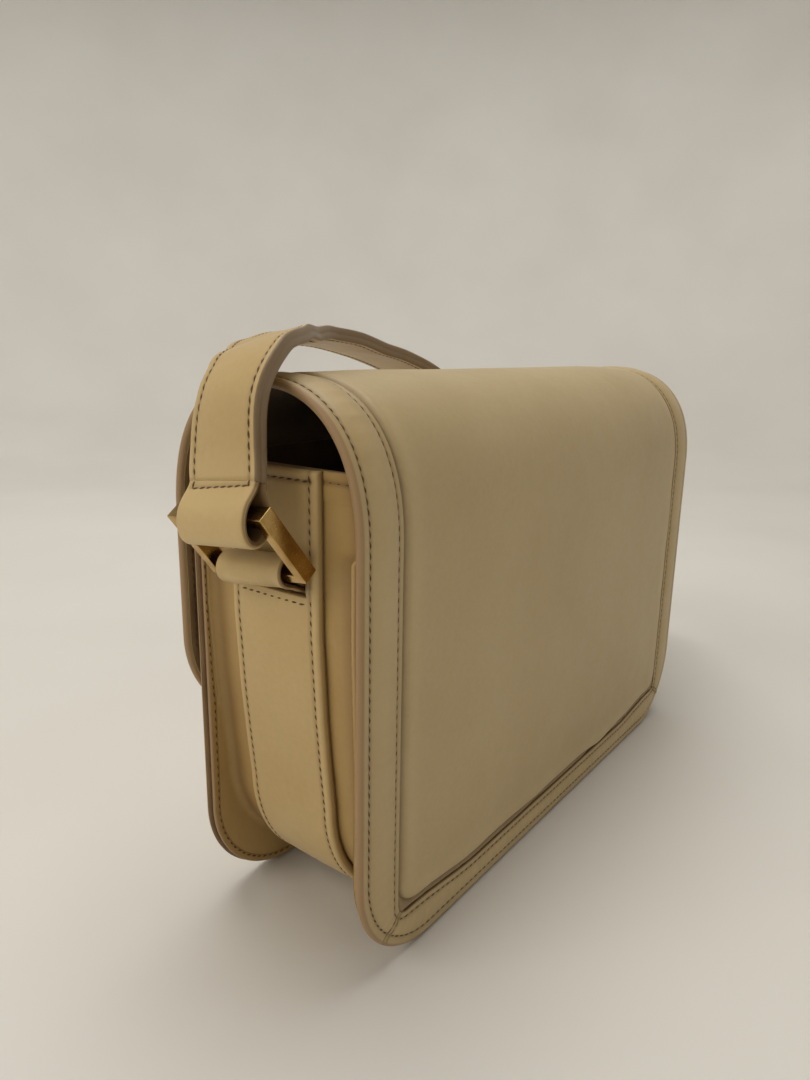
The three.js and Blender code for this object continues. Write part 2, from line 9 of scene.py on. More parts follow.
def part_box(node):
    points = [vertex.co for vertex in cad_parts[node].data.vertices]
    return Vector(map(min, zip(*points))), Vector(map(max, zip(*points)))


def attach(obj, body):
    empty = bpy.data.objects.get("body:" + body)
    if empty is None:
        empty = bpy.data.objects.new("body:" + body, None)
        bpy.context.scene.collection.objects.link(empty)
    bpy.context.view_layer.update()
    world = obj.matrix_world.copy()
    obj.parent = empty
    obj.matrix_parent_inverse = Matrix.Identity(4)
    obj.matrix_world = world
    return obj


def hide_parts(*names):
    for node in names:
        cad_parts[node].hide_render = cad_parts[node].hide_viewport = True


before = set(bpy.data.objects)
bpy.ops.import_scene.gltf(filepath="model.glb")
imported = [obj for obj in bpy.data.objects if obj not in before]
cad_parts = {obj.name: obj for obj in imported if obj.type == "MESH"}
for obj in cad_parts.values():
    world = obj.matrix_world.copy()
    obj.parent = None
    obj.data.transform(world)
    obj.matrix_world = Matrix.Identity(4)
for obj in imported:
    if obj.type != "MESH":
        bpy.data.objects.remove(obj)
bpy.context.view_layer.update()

MM = 1000.0


def box_mm(node):
    """A node's lowest and highest corners in the row frame, in millimetres."""
    return [np.array(corner, float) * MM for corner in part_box(node)]


# Sizes of the leather, as in the part
FIELD_PUFF = 0.6
BORDER_SHEET = 1.2
PANEL_SHEET = 1.6
FRONT_SHEET = 2.4
GUSSET_SHEET = 1.5
BAND_SHEET = 3.0
CHAPE_SHEET = 1.4
STRAP_SHEET = 4.6
LOOP_SHEET = 2.2
SEAT = 0.3

panel_low, panel_high = box_mm("back_flap_panel")
front_low, front_high = box_mm("front_panel")
flap_low, _ = box_mm("border_flap_bottom")

SHIFT = np.array([
    (panel_low[0] + panel_high[0]) / 2,
    (panel_high[1] - FIELD_PUFF + front_low[1]) / 2,
    0.0,
])
HALF = (panel_high[0] - panel_low[0]) / 2
BACK_FACE = panel_high[1] - FIELD_PUFF - SHIFT[1]
FLAP_FACE = panel_low[1] + FIELD_PUFF - SHIFT[1]
BAG_TOP = panel_high[2] - FIELD_PUFF
FRONT_HEIGHT = front_high[2]
FLAP_END = flap_low[2]
BACK_HEIGHT = 138.0
TOP_POWER = 2.35
CORNER_RADIUS = 36.0
FRONT_TOP_RADIUS = 5.0

# Borders and the raised field
BORDER_SIDE = 18.5
BORDER_BOTTOM = 12.3
BORDER_LIFT = 3.4
LIFT_FROM = 64
LIFT_TO = 106
INNER_CORNER = 5.0
FIELD_GAP = 0.7
FIELD_BOTTOM = 14.4
FIELD_CORNER = 9.0
RIM = 1.5
OUTER_ROW = 3.7
INNER_ROW = 2.4
MITRE_ROW = 1.1
BORDER_PUFF = 0.85
FIELD_ROUND = 2.6

# Where the sheet's grid is fine: runs from its end, width from its side, and the step there
FINE_RUNS = (10, 26)
FINE_SIDE = 27
FINE_STEP = 0.6

# A border's columns: from its outer edge, as shares of its middle, and from its inner edge
BORDER_NEAR = (RIM, 2.2, 2.8, 3.2, 3.5, 3.75, 4.1, 4.6)
BORDER_MIDDLE = (0.12, 0.25, 0.38, 0.5, 0.62, 0.75, 0.88)
BORDER_FAR = (3.2, 2.8, 2.4, 2.05, 1.6, 1.0, 0.5, 0.15, 0.0)
BORDER_NARROW = 9.0

# Sags of the field's lower edge on the back: how deep, at which x, how wide
FIELD_SAGS = ((2.0, -43, 13), (-0.5, 50, 16), (0.5, 20, 9))

# Gusset and band
RECESS_TOP = 4.6
RECESS_SIDE = 9.4
RECESS_BOTTOM = 8.8
WEB_RADIUS = 44.0
WEB_BEND = 3.0
BAND_WIDTH = 37.0
BAND_ROW = 3.0
HEM_ROW = 3.2
FLANGE_SHY = 0.6
FLANGE_ROW = 2.6
FLANGE_MARKS = (0.0, 0.35, 0.9, 1.6, 2.2, FLANGE_ROW, 3.0, 3.5)
BACK_SHY = 1.6
HEM_MARKS = (0, 0.15, 0.45, 0.9, 1.5, 2.2, 2.8, 3.2, 3.6, 4.4)
HEM_INSET = 5.5
WEB_MARKS = (2.0, 4.0, 6.5, 9.5)

# Front panel: its columns from the edge, and its row of stitches
FRONT_MARKS = (0.0, 0.12, 0.4, 0.8, 1.3, 2.0, 2.4, 2.8, 3.2, 3.8, 5.0)
FRONT_ROW = 2.8

# How far down the side (share) and how much of the change of recess is reached there
SIDE_RECESS = ((0.0, 0.0), (0.45, 0.0), (0.7, 0.32), (0.87, 0.68), (1.0, 1.0))

# Chapes, rings and the strap's ends
CHAPE_WIDTH = 27.0
CHAPE_RISE = 4.25
SLIT_Z = 125.8
SLIT_SIDE_GAP = 0.6
RING_BAR = 3.0
RING_DEPTH = 5.3
RING_WIDTH = 39.4
RING_SHIFT = 0.8
RING_HEIGHT = 24.4
RING_SLACK = 0.5
RIGHT_RING_ROLL = 6.2
RIGHT_RING_TILT = 35.7
LEFT_RING_TILT = 134.0
STRAP_WIDTH = 28.0
STRAP_NECK = 9.2
SEAM_LEVEL = 7.4
SEAM_SLANT = 0.7
SLIT_DROP_OPEN = 1.4
STRAP_ROW = 2.6
LOOP_SLACK = 0.15
LOOP_DROP = 8.5
NECK_LEAN = 16.0
STRAP_SLIDE = 2.6
STRAP_STEP = 1.5
NECK_STATIONS = 8
TWIST_STATIONS = 18

# The strap's way, as in the part. Columns: out, a share of half the bag's width; fore, a share of the strap's
# stand-off from the gusset's middle; up, a share of the bag's height; bank, a turn in degrees
STRAP_ROUTE = (
    (1.089, 0.044, 0.889, -2.5), (1.07, 0.041, 0.975, -7), (0.995, 0.105, 1.025, -10.5),
    (0.88, 0.247, 1.046, -12.5), (0.757, 0.434, 1.054, -7), (0.623, 0.576, 1.063, -4),
    (0.475, 0.634, 1.059, -2), (0.332, 0.688, 1.044, 1), (0.188, 0.739, 1.027, 0),
    (-0.008, 0.797, 0.991, 0), (-0.192, 0.881, 0.938, 0), (-0.354, 1.008, 0.846, 0),
    (-0.477, 1.144, 0.727, 0), (-0.569, 1.271, 0.591, 0), (-0.654, 1.381, 0.45, 0),
    (-0.754, 1.483, 0.304, 0), (-0.885, 1.568, 0.168, 0), (-1.054, 1.619, 0.068, 0),
    (-1.246, 1.619, 0.021, 0), (-1.438, 1.542, 0.015, 0), (-1.615, 1.407, 0.041, 0),
    (-1.746, 1.22, 0.098, 0), (-1.815, 1, 0.184, 0), (-1.808, 0.763, 0.287, 0),
    (-1.735, 0.542, 0.39, 0), (-1.608, 0.339, 0.48, 0), (-1.454, 0.161, 0.542, 0),
    (-1.304, 0.047, 0.575, 0),
)

# Thread
PITCH = 3.0
STITCH_LENGTH = 2.7
STITCH_WIDTH = 0.6
STITCH_HEIGHT = 0.5
STITCH_SLANT = math.radians(9)
SLANT_SHARE = 0.35
SLANT_BEAT = 2.4

# The hidden fastener
SNAP_RADIUS = 7.0
SNAP_Z = 84.0


# Small helpers
def place(points):
    """Bag millimetres to metres in the row frame."""
    return (np.asarray(points, float) + SHIFT) / MM


def spaced(start, stop, step):
    count = max(1, round(abs(stop - start) / step))
    return np.linspace(start, stop, count + 1)


def joined(*runs):
    """Several runs of numbers as one, without repeats."""
    values = np.concatenate(runs)
    keep = np.concatenate([[True], np.abs(np.diff(values)) > 1e-6])
    return values[keep]


def smooth(value, low=0.0, high=1.0):
    t = np.clip((np.asarray(value, float) - low) / (high - low), 0, 1)
    return t * t * (3 - 2 * t)


def bell(value, width):
    return np.exp(-(np.asarray(value, float) / width) ** 2)


def ripple(a, b, size, seed=0.0):
    """Soft noise between about -1 and 1 over a plane, with waves of about size millimetres."""
    a, b = np.broadcast_arrays(np.asarray(a, float), np.asarray(b, float))
    flat = [noise.noise(Vector((p / size, q / size, seed))) for p, q in zip(a.ravel(), b.ravel())]
    return np.array(flat).reshape(a.shape)


def unit(vectors):
    vectors = np.asarray(vectors, float)
    return vectors / np.linalg.norm(vectors, axis=-1, keepdims=True)


def turned(vector, axis, angle):
    return np.array(Matrix.Rotation(angle, 3, Vector(axis)) @ Vector(vector))


def run_along(points):
    """The way gone along a line of points, 0 at the first."""
    return np.concatenate([[0], np.cumsum(np.linalg.norm(np.diff(points, axis=0), axis=1))])


def at_run(place, run, values):
    """The values of each column at a place along the line."""
    return np.array([np.interp(place, run, column) for column in values.T])


def both_halves(half, lift, middle):
    """A strip's columns and their lifts from edge to edge, from those of one half and the middle's lift."""
    return np.array([*[-v for v in half], 0.0, *half[::-1]]), np.array([*lift, middle, *lift[::-1]])


def row_of(spots):
    """A row of stitches from pairs of a point and its outward direction."""
    return tuple(np.array(values, float) for values in zip(*spots))


def level_row(side, x, ys, z):
    """A row of stitches across an end wall, at one level."""
    path = np.stack([np.full(len(ys), x), ys, np.full(len(ys), z)], -1)
    return path, np.tile((float(side), 0, 0), (len(ys), 1))


def make_piece(name, points, faces, materials, nodes=(), looks=None, shade_and_highlight=None, paint=None):
    """A mesh object from bag millimetres, with a value at each point that darkens it with painted shade or
    lightens it with a painted highlight, and one that marks painted edges.
    """
    points = np.asarray(points, float).reshape(-1, 3)
    volume = 0.0
    for face in faces:
        a = points[face[0]]
        for i in range(1, len(face) - 1):
            volume += float(np.dot(a, np.cross(points[face[i]], points[face[i + 1]])))
    if volume < 0:
        faces = [tuple(reversed(face)) for face in faces]
    mesh = bpy.data.meshes.new(name)
    mesh.from_pydata(place(points).tolist(), [], faces)
    for label, values in (("shade_and_highlight", shade_and_highlight), ("paint", paint)):
        attribute = mesh.attributes.new(label, "FLOAT", "POINT")
        values = np.zeros(len(points)) if values is None else np.asarray(values, float).ravel()
        attribute.data.foreach_set("value", values.astype(np.float32))
    for material in materials:
        mesh.materials.append(material)
    if looks is not None:
        mesh.polygons.foreach_set("material_index", np.asarray(looks, np.int32))
    mesh.polygons.foreach_set("use_smooth", np.array([len(face) <= 4 for face in faces]))
    mesh.validate()
    mesh.update()
    piece = bpy.data.objects.new(name, mesh)
    bpy.context.scene.collection.objects.link(piece)
    if nodes:
        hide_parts(*nodes)
    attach(piece, "root")
    return piece


def tube_faces(count, ring, opened=None):
    """Faces of a closed body swept through rings of points, with capped ends and without the opened ones."""
    at = lambda i, k: i * ring + k % ring
    faces = [(at(i, k), at(i + 1, k), at(i + 1, k + 1), at(i, k + 1)) for i in range(count - 1)
             for k in range(ring) if not (opened and opened(i, k))]
    ends = [tuple(at(0, k) for k in range(ring)), tuple(at(count - 1, k) for k in reversed(range(ring)))]
    return faces + ends


def swept(name, rings, material, nodes=(), shade_and_highlight=None, paint=None):
    """A closed body of one material through rings of points."""
    rings = np.array(rings)
    faces = tube_faces(*rings.shape[:2])
    make_piece(name, rings, faces, [material], nodes, shade_and_highlight=shade_and_highlight, paint=paint)


def sheet_faces(rows, columns):
    """Faces of a closed sheet from an upper and a lower grid, and which of them are on the lower side."""
    top = lambda r, c: r * columns + c
    under = lambda r, c: (rows + r) * columns + c
    wall = lambda r, c, q, d: (top(r, c), top(q, d), under(q, d), under(r, c))
    faces, lower = [], []
    for r in range(rows - 1):
        for c in range(columns - 1):
            faces.append((top(r, c), top(r + 1, c), top(r + 1, c + 1), top(r, c + 1)))
            faces.append((under(r, c), under(r, c + 1), under(r + 1, c + 1), under(r + 1, c)))
            lower += [False, True]
    for r in range(rows - 1):
        faces += [wall(r + 1, 0, r, 0), wall(r, columns - 1, r + 1, columns - 1)]
    for c in range(columns - 1):
        faces += [wall(0, c, 0, c + 1), wall(rows - 1, c + 1, rows - 1, c)]
    return faces, lower + [False] * (len(faces) - len(lower))


# Materials
def linear(red, green, blue):
    """A colour as it is seen on a screen, 0 to 255, as light."""
    values = [v / 255 for v in (red, green, blue)]
    return tuple(v / 12.92 if v <= 0.04045 else ((v + 0.055) / 1.055) ** 2.4 for v in values) + (1.0,)


class Nodes:
    """A material's nodes, with short ways to add and join them."""

    def __init__(self, name):
        self.material = bpy.data.materials.new(name)
        self.material.use_nodes = True
        self.tree = self.material.node_tree
        self.shader = self.tree.nodes["Principled BSDF"]

    def add(self, kind, **settings):
        node = self.tree.nodes.new(kind)
        for key, value in settings.items():
            if key in node.inputs:
                node.inputs[key].default_value = value
            else:
                setattr(node, key, value)
        return node

    def join(self, output, target):
        self.tree.links.new(output, target)

    def to(self, socket, value):
        """Joins an output into one of the shader's sockets, or sets the socket to a value."""
        if isinstance(value, bpy.types.NodeSocket):
            self.join(value, self.shader.inputs[socket])
        else:
            self.shader.inputs[socket].default_value = value

    def where(self):
        """Object coordinates in millimetres."""
        coordinates = self.add("ShaderNodeTexCoord")
        scale = self.add("ShaderNodeVectorMath", operation="SCALE", Scale=MM)
        self.join(coordinates.outputs["Object"], scale.inputs[0])
        return scale.outputs[0]

    def wave(self, where, scale, detail=2.0, roughness=0.5):
        texture = self.add("ShaderNodeTexNoise", Scale=scale, Detail=detail, Roughness=roughness)
        self.join(where, texture.inputs["Vector"])
        return texture.outputs["Fac"]

    def ramp(self, value, low, high, to_low=0.0, to_high=1.0):
        span = self.add("ShaderNodeMapRange")
        for key, number in (("From Min", low), ("From Max", high), ("To Min", to_low), ("To Max", to_high)):
            span.inputs[key].default_value = number
        self.join(value, span.inputs["Value"])
        return span.outputs["Result"]

    def mixed(self, share, first, second, blend="MIX"):
        mix = self.add("ShaderNodeMix", data_type="RGBA", blend_type=blend)
        for socket, value in ((mix.inputs[0], share), (mix.inputs[6], first), (mix.inputs[7], second)):
            if isinstance(value, bpy.types.NodeSocket):
                self.join(value, socket)
            else:
                socket.default_value = value
        return mix.outputs[2]

    def attribute(self, name):
        return self.add("ShaderNodeAttribute", attribute_name=name).outputs["Fac"]

    def bump(self, height, strength, distance, before=None):
        bump = self.add("ShaderNodeBump", Strength=strength, Distance=distance / MM)
        self.join(height, bump.inputs["Height"])
        if before is not None:
            self.join(before, bump.inputs["Normal"])
        return bump.outputs["Normal"]


# The brown of painted shade, also the brown of the leather's fine flecks; how much lighter a painted
# highlight on a raised point is than the leather; and how rough the leather is
SHADE_AND_FLECK_BROWN = linear(104, 72, 36)
HIGHLIGHT_GAIN = 1.45
LEATHER_ROUGH = (0.42, 0.58)


def leather(name, light, dark, paint):
    """Smooth calf leather: cloudy colour, fine grain, painted shade in creases and grooves, painted
    highlights on raised points, and painted edges.
    """
    n = Nodes(name)
    where = n.where()
    cloud = n.ramp(n.wave(where, 0.014, 3.0, 0.5), 0.3, 0.7)
    colour = n.mixed(cloud, light, dark)
    fleck = n.ramp(n.wave(where, 0.5, 3.0, 0.6), 0.3, 0.7, 0.0, 0.07)
    colour = n.mixed(fleck, colour, SHADE_AND_FLECK_BROWN)
    # Painted shade and highlight: a negative point value darkens the colour towards the shade brown, a
    # positive one lightens it with a painted highlight.
    shade_and_highlight = n.attribute("shade_and_highlight")
    colour = n.mixed(n.ramp(shade_and_highlight, 0.0, -1.0), colour, SHADE_AND_FLECK_BROWN)
    lift = n.ramp(shade_and_highlight, 0.0, 1.0, 0.0, 0.55)
    colour = n.mixed(lift, colour, (*[min(1.0, v * HIGHLIGHT_GAIN) for v in light[:3]], 1.0))
    colour = n.mixed(n.attribute("paint"), colour, paint)
    n.to("Base Color", colour)
    wear = n.wave(where, 0.12, 3.0, 0.6)
    n.to("Roughness", n.ramp(wear, 0.25, 0.75, *LEATHER_ROUGH))
    cells = n.add("ShaderNodeTexVoronoi", feature="SMOOTH_F1", Scale=1.25)
    n.join(where, cells.inputs["Vector"])
    soft = n.bump(n.wave(where, 0.09, 2.0, 0.5), 0.12, 0.8)
    pores = n.bump(cells.outputs["Distance"], 0.18, 0.1, soft)
    fine = n.bump(n.wave(where, 3.2, 2.0, 0.6), 0.2, 0.06, pores)
    n.to("Normal", fine)
    n.to("Specular IOR Level", 0.42)
    n.to("Sheen Weight", 0.08)
    n.to("Sheen Roughness", 0.45)
    return n.material


def thread_look():
    """Twisted waxed thread, dark brown."""
    n = Nodes("thread")
    where = n.where()
    colour = n.mixed(n.ramp(n.wave(where, 0.3), 0.3, 0.7), linear(112, 80, 42), linear(78, 54, 27))
    n.to("Base Color", colour)
    n.to("Normal", n.bump(n.wave(where, 4.5, 1.0), 0.5, 0.1))
    n.to("Roughness", n.ramp(n.wave(where, 2.0), 0.3, 0.7, 0.55, 0.75))
    return n.material


def lining_look():
    """The undressed inner face of the leather, a dull brown nap."""
    n = Nodes("lining")
    where = n.where()
    colour = n.mixed(n.ramp(n.wave(where, 0.05, 4.0), 0.3, 0.7), linear(128, 100, 62), linear(106, 80, 48))
    n.to("Base Color", colour)
    n.to("Normal", n.bump(n.wave(where, 2.4, 4.0, 0.7), 0.5, 0.25))
    n.to("Roughness", n.ramp(n.wave(where, 0.8), 0.3, 0.7, 0.75, 0.95))
    n.to("Sheen Weight", 0.15)
    return n.material


def brass_look():
    """Polished brass with light handling marks."""
    n = Nodes("brass")
    where = n.where()
    cloud = n.ramp(n.wave(where, 0.16, 4.0), 0.35, 0.65)
    colour = n.mixed(cloud, linear(196, 164, 104), linear(164, 128, 68))
    n.to("Base Color", colour)
    n.to("Metallic", 1.0)
    scratches = n.wave(where, 1.6, 5.0, 0.7)
    n.to("Roughness", n.ramp(scratches, 0.3, 0.7, 0.14, 0.3))
    n.to("Normal", n.bump(scratches, 0.08, 0.05))
    return n.material


PAINT = linear(158, 128, 90)
panel_leather = leather("panel_leather", linear(192, 171, 128), linear(183, 161, 117), PAINT)
border_leather = leather("border_leather", linear(190, 168, 124), linear(178, 154, 108), PAINT)
gusset_leather = leather("gusset_leather", linear(186, 155, 98), linear(170, 138, 82), PAINT)
strap_leather = leather("strap_leather", linear(196, 170, 118), linear(186, 157, 103), linear(134, 112, 84))
thread = thread_look()
lining = lining_look()
brass = brass_look()


# Thread
def stitches(name, rows):
    """Sewn stitches. Each row is (path, up): points along it and the face's outward direction there."""
    around, rings = 8, (0.0, 0.3, 0.75, 1.0, 0.75, 0.3, 0.0)
    profile = []
    for step, size in zip(np.linspace(-1, 1, len(rings)), rings):
        if size == 0:
            profile.append((step, 0, -0.5))
            continue
        for k in range(around):
            angle = 2 * math.pi * k / around
            thick = size ** 0.6
            profile.append((step, math.cos(angle) * thick, math.sin(angle) * thick - 0.5 * (1 - size)))
    local = np.array(profile) * (STITCH_LENGTH / 2, STITCH_WIDTH / 2, STITCH_HEIGHT / 2)
    shape = []
    inner = len(rings) - 2
    ring = lambda r, k: 1 + r * around + k % around
    end = 1 + inner * around
    for k in range(around):
        shape.append((0, ring(0, k + 1), ring(0, k)))
        shape.append((end, ring(inner - 1, k), ring(inner - 1, k + 1)))
        for r in range(inner - 1):
            shape.append((ring(r, k), ring(r, k + 1), ring(r + 1, k + 1), ring(r + 1, k)))
    points, faces = [], []
    for path, up in rows:
        path, up = np.asarray(path, float), unit(up)
        run = run_along(path)
        count = max(1, int(round(run[-1] / PITCH)))
        pitch = run[-1] / count
        for i in range(count):
            middle = (i + 0.5) * pitch
            spot = at_run(middle, run, path)
            forward = unit(at_run(middle + pitch / 2, run, path) - at_run(middle - pitch / 2, run, path))
            across = unit(np.cross(unit(at_run(middle, run, up)), forward))
            lift = np.cross(forward, across)
            slant = STITCH_SLANT * (1 + SLANT_SHARE * math.sin(i * SLANT_BEAT))
            way = forward * math.cos(slant) + across * math.sin(slant)
            side = across * math.cos(slant) - forward * math.sin(slant)
            start = len(points) * len(local)
            points.append(spot + local[:, :1] * way + local[:, 1:2] * side + local[:, 2:] * lift)
            faces += [tuple(start + v for v in face) for face in shape]
    make_piece(name, np.concatenate(points), faces, [thread])


# The sheet that is the back, the top and the flap
def end_profile():
    """Along the bag's end, from the back's foot to the flap's end: run, y, z and outward direction."""
    rise = BAG_TOP - BACK_HEIGHT
    radius = (BACK_FACE - FLAP_FACE) / 2
    centre = BACK_FACE - radius
    angle = np.linspace(0, math.pi, 721)
    c, s = np.cos(angle), np.clip(np.sin(angle), 0, 1)
    y = centre + radius * np.sign(c) * np.abs(c) ** (2 / TOP_POWER)
    z = BACK_HEIGHT + rise * s ** (2 / TOP_POWER)
    ny = np.sign(c) * np.abs(c) ** (2 - 2 / TOP_POWER) / radius
    nz = s ** (2 - 2 / TOP_POWER) / rise
    down = spaced(0, BACK_HEIGHT, 2)[:-1]
    flap = spaced(BACK_HEIGHT, FLAP_END, 2)[1:]
    y = np.concatenate([np.full(len(down), BACK_FACE), y, np.full(len(flap), FLAP_FACE)])
    z = np.concatenate([down, z, flap])
    ny = np.concatenate([np.ones(len(down)), ny, -np.ones(len(flap))])
    nz = np.concatenate([np.zeros(len(down)), nz, np.zeros(len(flap))])
    run = run_along(np.stack([y, z], -1))
    return run, y, z, ny, nz


PROFILE = end_profile()
TOTAL = PROFILE[0][-1]


def on_sheet(run, x, height):
    """Points at a height over the sheet's outer face, and the outward direction there."""
    run, x, height = np.broadcast_arrays(*[np.asarray(value, float) for value in (run, x, height)])
    y, z, ny, nz = [np.interp(run, PROFILE[0], values) for values in PROFILE[1:]]
    length = np.hypot(ny, nz)
    ny, nz = ny / length, nz / length
    return (np.stack([x, y + ny * height, z + nz * height], -1), np.stack([np.zeros_like(x), ny, nz], -1))


def outline_half(end_run):
    """The sheet's half width at a run from its nearer end."""
    rest = np.clip(CORNER_RADIUS - end_run, 0, CORNER_RADIUS)
    return HALF - CORNER_RADIUS + np.sqrt(CORNER_RADIUS ** 2 - rest ** 2)


def inside_field(end_run, x, at_back):
    """How far a point lies inside the raised field's rounded outline, which sags a little on the back."""
    across = HALF - BORDER_SIDE - FIELD_GAP - np.abs(x)
    sag = np.where(at_back, sum(deep * bell(x - middle, wide) for deep, middle, wide in FIELD_SAGS), 0.0)
    upward = end_run - FIELD_BOTTOM - BORDER_LIFT * smooth(np.abs(x), LIFT_FROM, LIFT_TO) + sag
    corner = np.hypot(np.clip(FIELD_CORNER - across, 0, None), np.clip(FIELD_CORNER - upward, 0, None))
    return np.where(corner > 0, FIELD_CORNER - corner, np.minimum(across, upward))


def back_flap_panel():
    """The sheet with its raised, softly puckered field."""
    end = joined(spaced(0, FINE_RUNS[0], 2), spaced(*FINE_RUNS, FINE_STEP),
                 spaced(FINE_RUNS[1], TOTAL / 2, 2.2))
    runs = joined(end, (TOTAL - end)[::-1])
    edge = BORDER_SIDE - 1
    fold = HALF - edge
    side = joined(spaced(0, HALF - FINE_SIDE, 2.4), spaced(HALF - FINE_SIDE, fold, FINE_STEP),
                  spaced(fold, HALF, 2.8))
    xs = joined(-side[::-1], side)
    out = outline_half(np.minimum(runs, TOTAL - runs)[:, None]) - RIM - 0.2
    knee = np.minimum(fold, out - 4)
    far = np.abs(xs)[None, :]
    x = np.where(far <= fold, far * knee / fold, knee + (far - fold) * (out - knee) / edge)
    x = np.sign(xs)[None, :] * x
    s = np.broadcast_to(runs[:, None], x.shape)
    e = np.minimum(s, TOTAL - s)
    d = inside_field(e, x, s < TOTAL / 2)
    seat = BORDER_SHEET + SEAT
    swell = np.sin(np.clip(d / FIELD_ROUND, 0, 1) * math.pi / 2) ** 0.6
    crown = 0.5 * smooth(d, 3, 34)
    wide = ripple(x, s, 62, 3.1) * 0.4 * smooth(d, 0, 18)
    foot = bell(e - FIELD_BOTTOM - 3, 8)
    inner = smooth(d, 0, 2)
    pucker = ripple(x, s * 0.35, 6.5, 8.2) * 0.25 * (foot * inner)
    pucker = pucker + ripple(x, s, 14, 5.5) * 0.2 * bell(d - 3, 5) * inner
    gap = np.minimum(HALF - BORDER_SIDE - np.abs(x), e - inner_bottom(x))
    bank = np.where(d < 0, smooth(gap, -0.1, 0.5) * smooth(-d, 0.1, 1.2), 0.0)
    upper, _ = on_sheet(s, x, -seat + swell * (seat + FIELD_PUFF) + crown + wide + pucker + bank)
    lower, _ = on_sheet(s, x, -seat - PANEL_SHEET)
    # Painted shade along the field's edge and in the valley beside the borders, deepest along the field's
    # foot, and a painted highlight along the field's rounded shoulder.
    valley = np.where(d < 0, 1.0, bell(d, 0.5))
    shade_and_highlight = -(0.4 + 0.15 * foot) * valley - 0.35 * bell(d + 0.1, 0.35) * foot
    shade_and_highlight = shade_and_highlight - 0.14 * bell(d - 1, 2.5) * (1 - foot) + 0.2 * bell(d - 4.5, 3)
    faces, under = sheet_faces(*x.shape)
    points = np.concatenate([upper.reshape(-1, 3), lower.reshape(-1, 3)])
    make_piece("panel", points, faces, [panel_leather, lining], ["back_flap_panel"],
               looks=under, shade_and_highlight=np.concatenate([shade_and_highlight.ravel(), np.zeros(x.size)]))


# Border strips
def inner_bottom(x):
    """How far the inner edge of an end strip lies from the sheet's end: it lifts towards the corners."""
    return BORDER_BOTTOM + BORDER_LIFT * smooth(np.abs(x), LIFT_FROM, LIFT_TO)


def inner_corner():
    """The inner outline in a corner (x, run from the end), in two halves that meet at the mitre."""
    edge = HALF - BORDER_SIDE
    foot = edge - INNER_CORNER
    level = float(inner_bottom(foot))
    turn = np.linspace(0, math.pi / 4, 8)
    arc = lambda a: np.stack([foot + INNER_CORNER * np.cos(a), level + INNER_CORNER * (1 - np.sin(a))], -1)
    first = np.concatenate([[(edge, CORNER_RADIUS)], arc(turn)])
    xs = spaced(foot, HALF - CORNER_RADIUS, 1)[1:]
    last = np.concatenate([arc(turn + math.pi / 4), np.stack([xs, inner_bottom(xs)], -1)])
    return first, last


def along(line, share):
    """The point at a share of a line's length."""
    run = run_along(line)
    return tuple(at_run(share * run[-1], run, line))


INNER_HALVES = inner_corner()


def corner_pair(share):
    """The outer and inner outlines' points (x, run) in a corner, from the side (0) to the end (1)."""
    angle = share * math.pi / 2
    outer = (HALF - CORNER_RADIUS + CORNER_RADIUS * math.cos(angle), CORNER_RADIUS * (1 - math.sin(angle)))
    if share <= 0.5:
        return outer, along(INNER_HALVES[0], share * 2)
    return outer, along(INNER_HALVES[1], share * 2 - 1)


MITRE_SHARES = np.array([0.002, 0.006, 0.010, 0.014, 0.018, 0.022, 0.026, 0.030, 0.036, 0.044])
CORNER_SHARES = np.concatenate([MITRE_SHARES, np.linspace(0.055, 0.5, 31)])


def side_pairs(side):
    """Outer and inner points (x, run) of a side strip, from the back's mitre to the flap's mitre."""
    corner = np.array([corner_pair(0.5 - share) for share in CORNER_SHARES])
    straight = spaced(CORNER_RADIUS, TOTAL - CORNER_RADIUS, 0.8)[1:-1]
    lines = []
    for k, x in enumerate((HALF, HALF - BORDER_SIDE)):
        far = [(u, TOTAL - e) for u, e in corner[::-1, k]]
        lines.append(np.array([*corner[:, k], *[(x, run) for run in straight], *far]) * (side, 1))
    return lines


def end_pairs(at_back):
    """Outer and inner points of an end strip, from its right mitre to its left mitre."""
    corner = np.array([corner_pair(0.5 + share) for share in CORNER_SHARES])
    straight = spaced(HALF - CORNER_RADIUS, CORNER_RADIUS - HALF, 0.8)[1:-1]
    lines = []
    for k, runs in enumerate((np.zeros(len(straight)), inner_bottom(straight))):
        line = np.array([*corner[:, k], *zip(straight, runs), *[(-u, e) for u, e in corner[::-1, k]]])
        if not at_back:
            line[:, 1] = TOTAL - line[:, 1]
        lines.append(line)
    return lines


def stitch_pull(run):
    """How much the thread pulls the leather in along a row: most between two stitches' middles."""
    return 0.8 + 0.2 * math.cos(2 * math.pi * run / PITCH)


def border_height(from_outer, from_inner, run):
    """The border's face over the sheet's outer face: puffed between its two rows of stitches."""
    width = from_outer + from_inner
    t = np.clip((from_outer - OUTER_ROW) / (width - OUTER_ROW - INNER_ROW), 0, 1)
    puff = BORDER_PUFF * np.sin(math.pi * t) ** 0.7 * np.clip(width / BORDER_SIDE, 0.4, 1)
    pull = stitch_pull(run)
    rows = 0.4 * bell(from_outer - OUTER_ROW, 0.6) + 0.34 * bell(from_inner - INNER_ROW, 0.55)
    fold = 0.8 - np.sqrt(np.clip(0.64 - np.clip(0.8 - from_inner, 0, 0.8) ** 2, 0, None))
    return puff - rows * pull - fold * 0.7


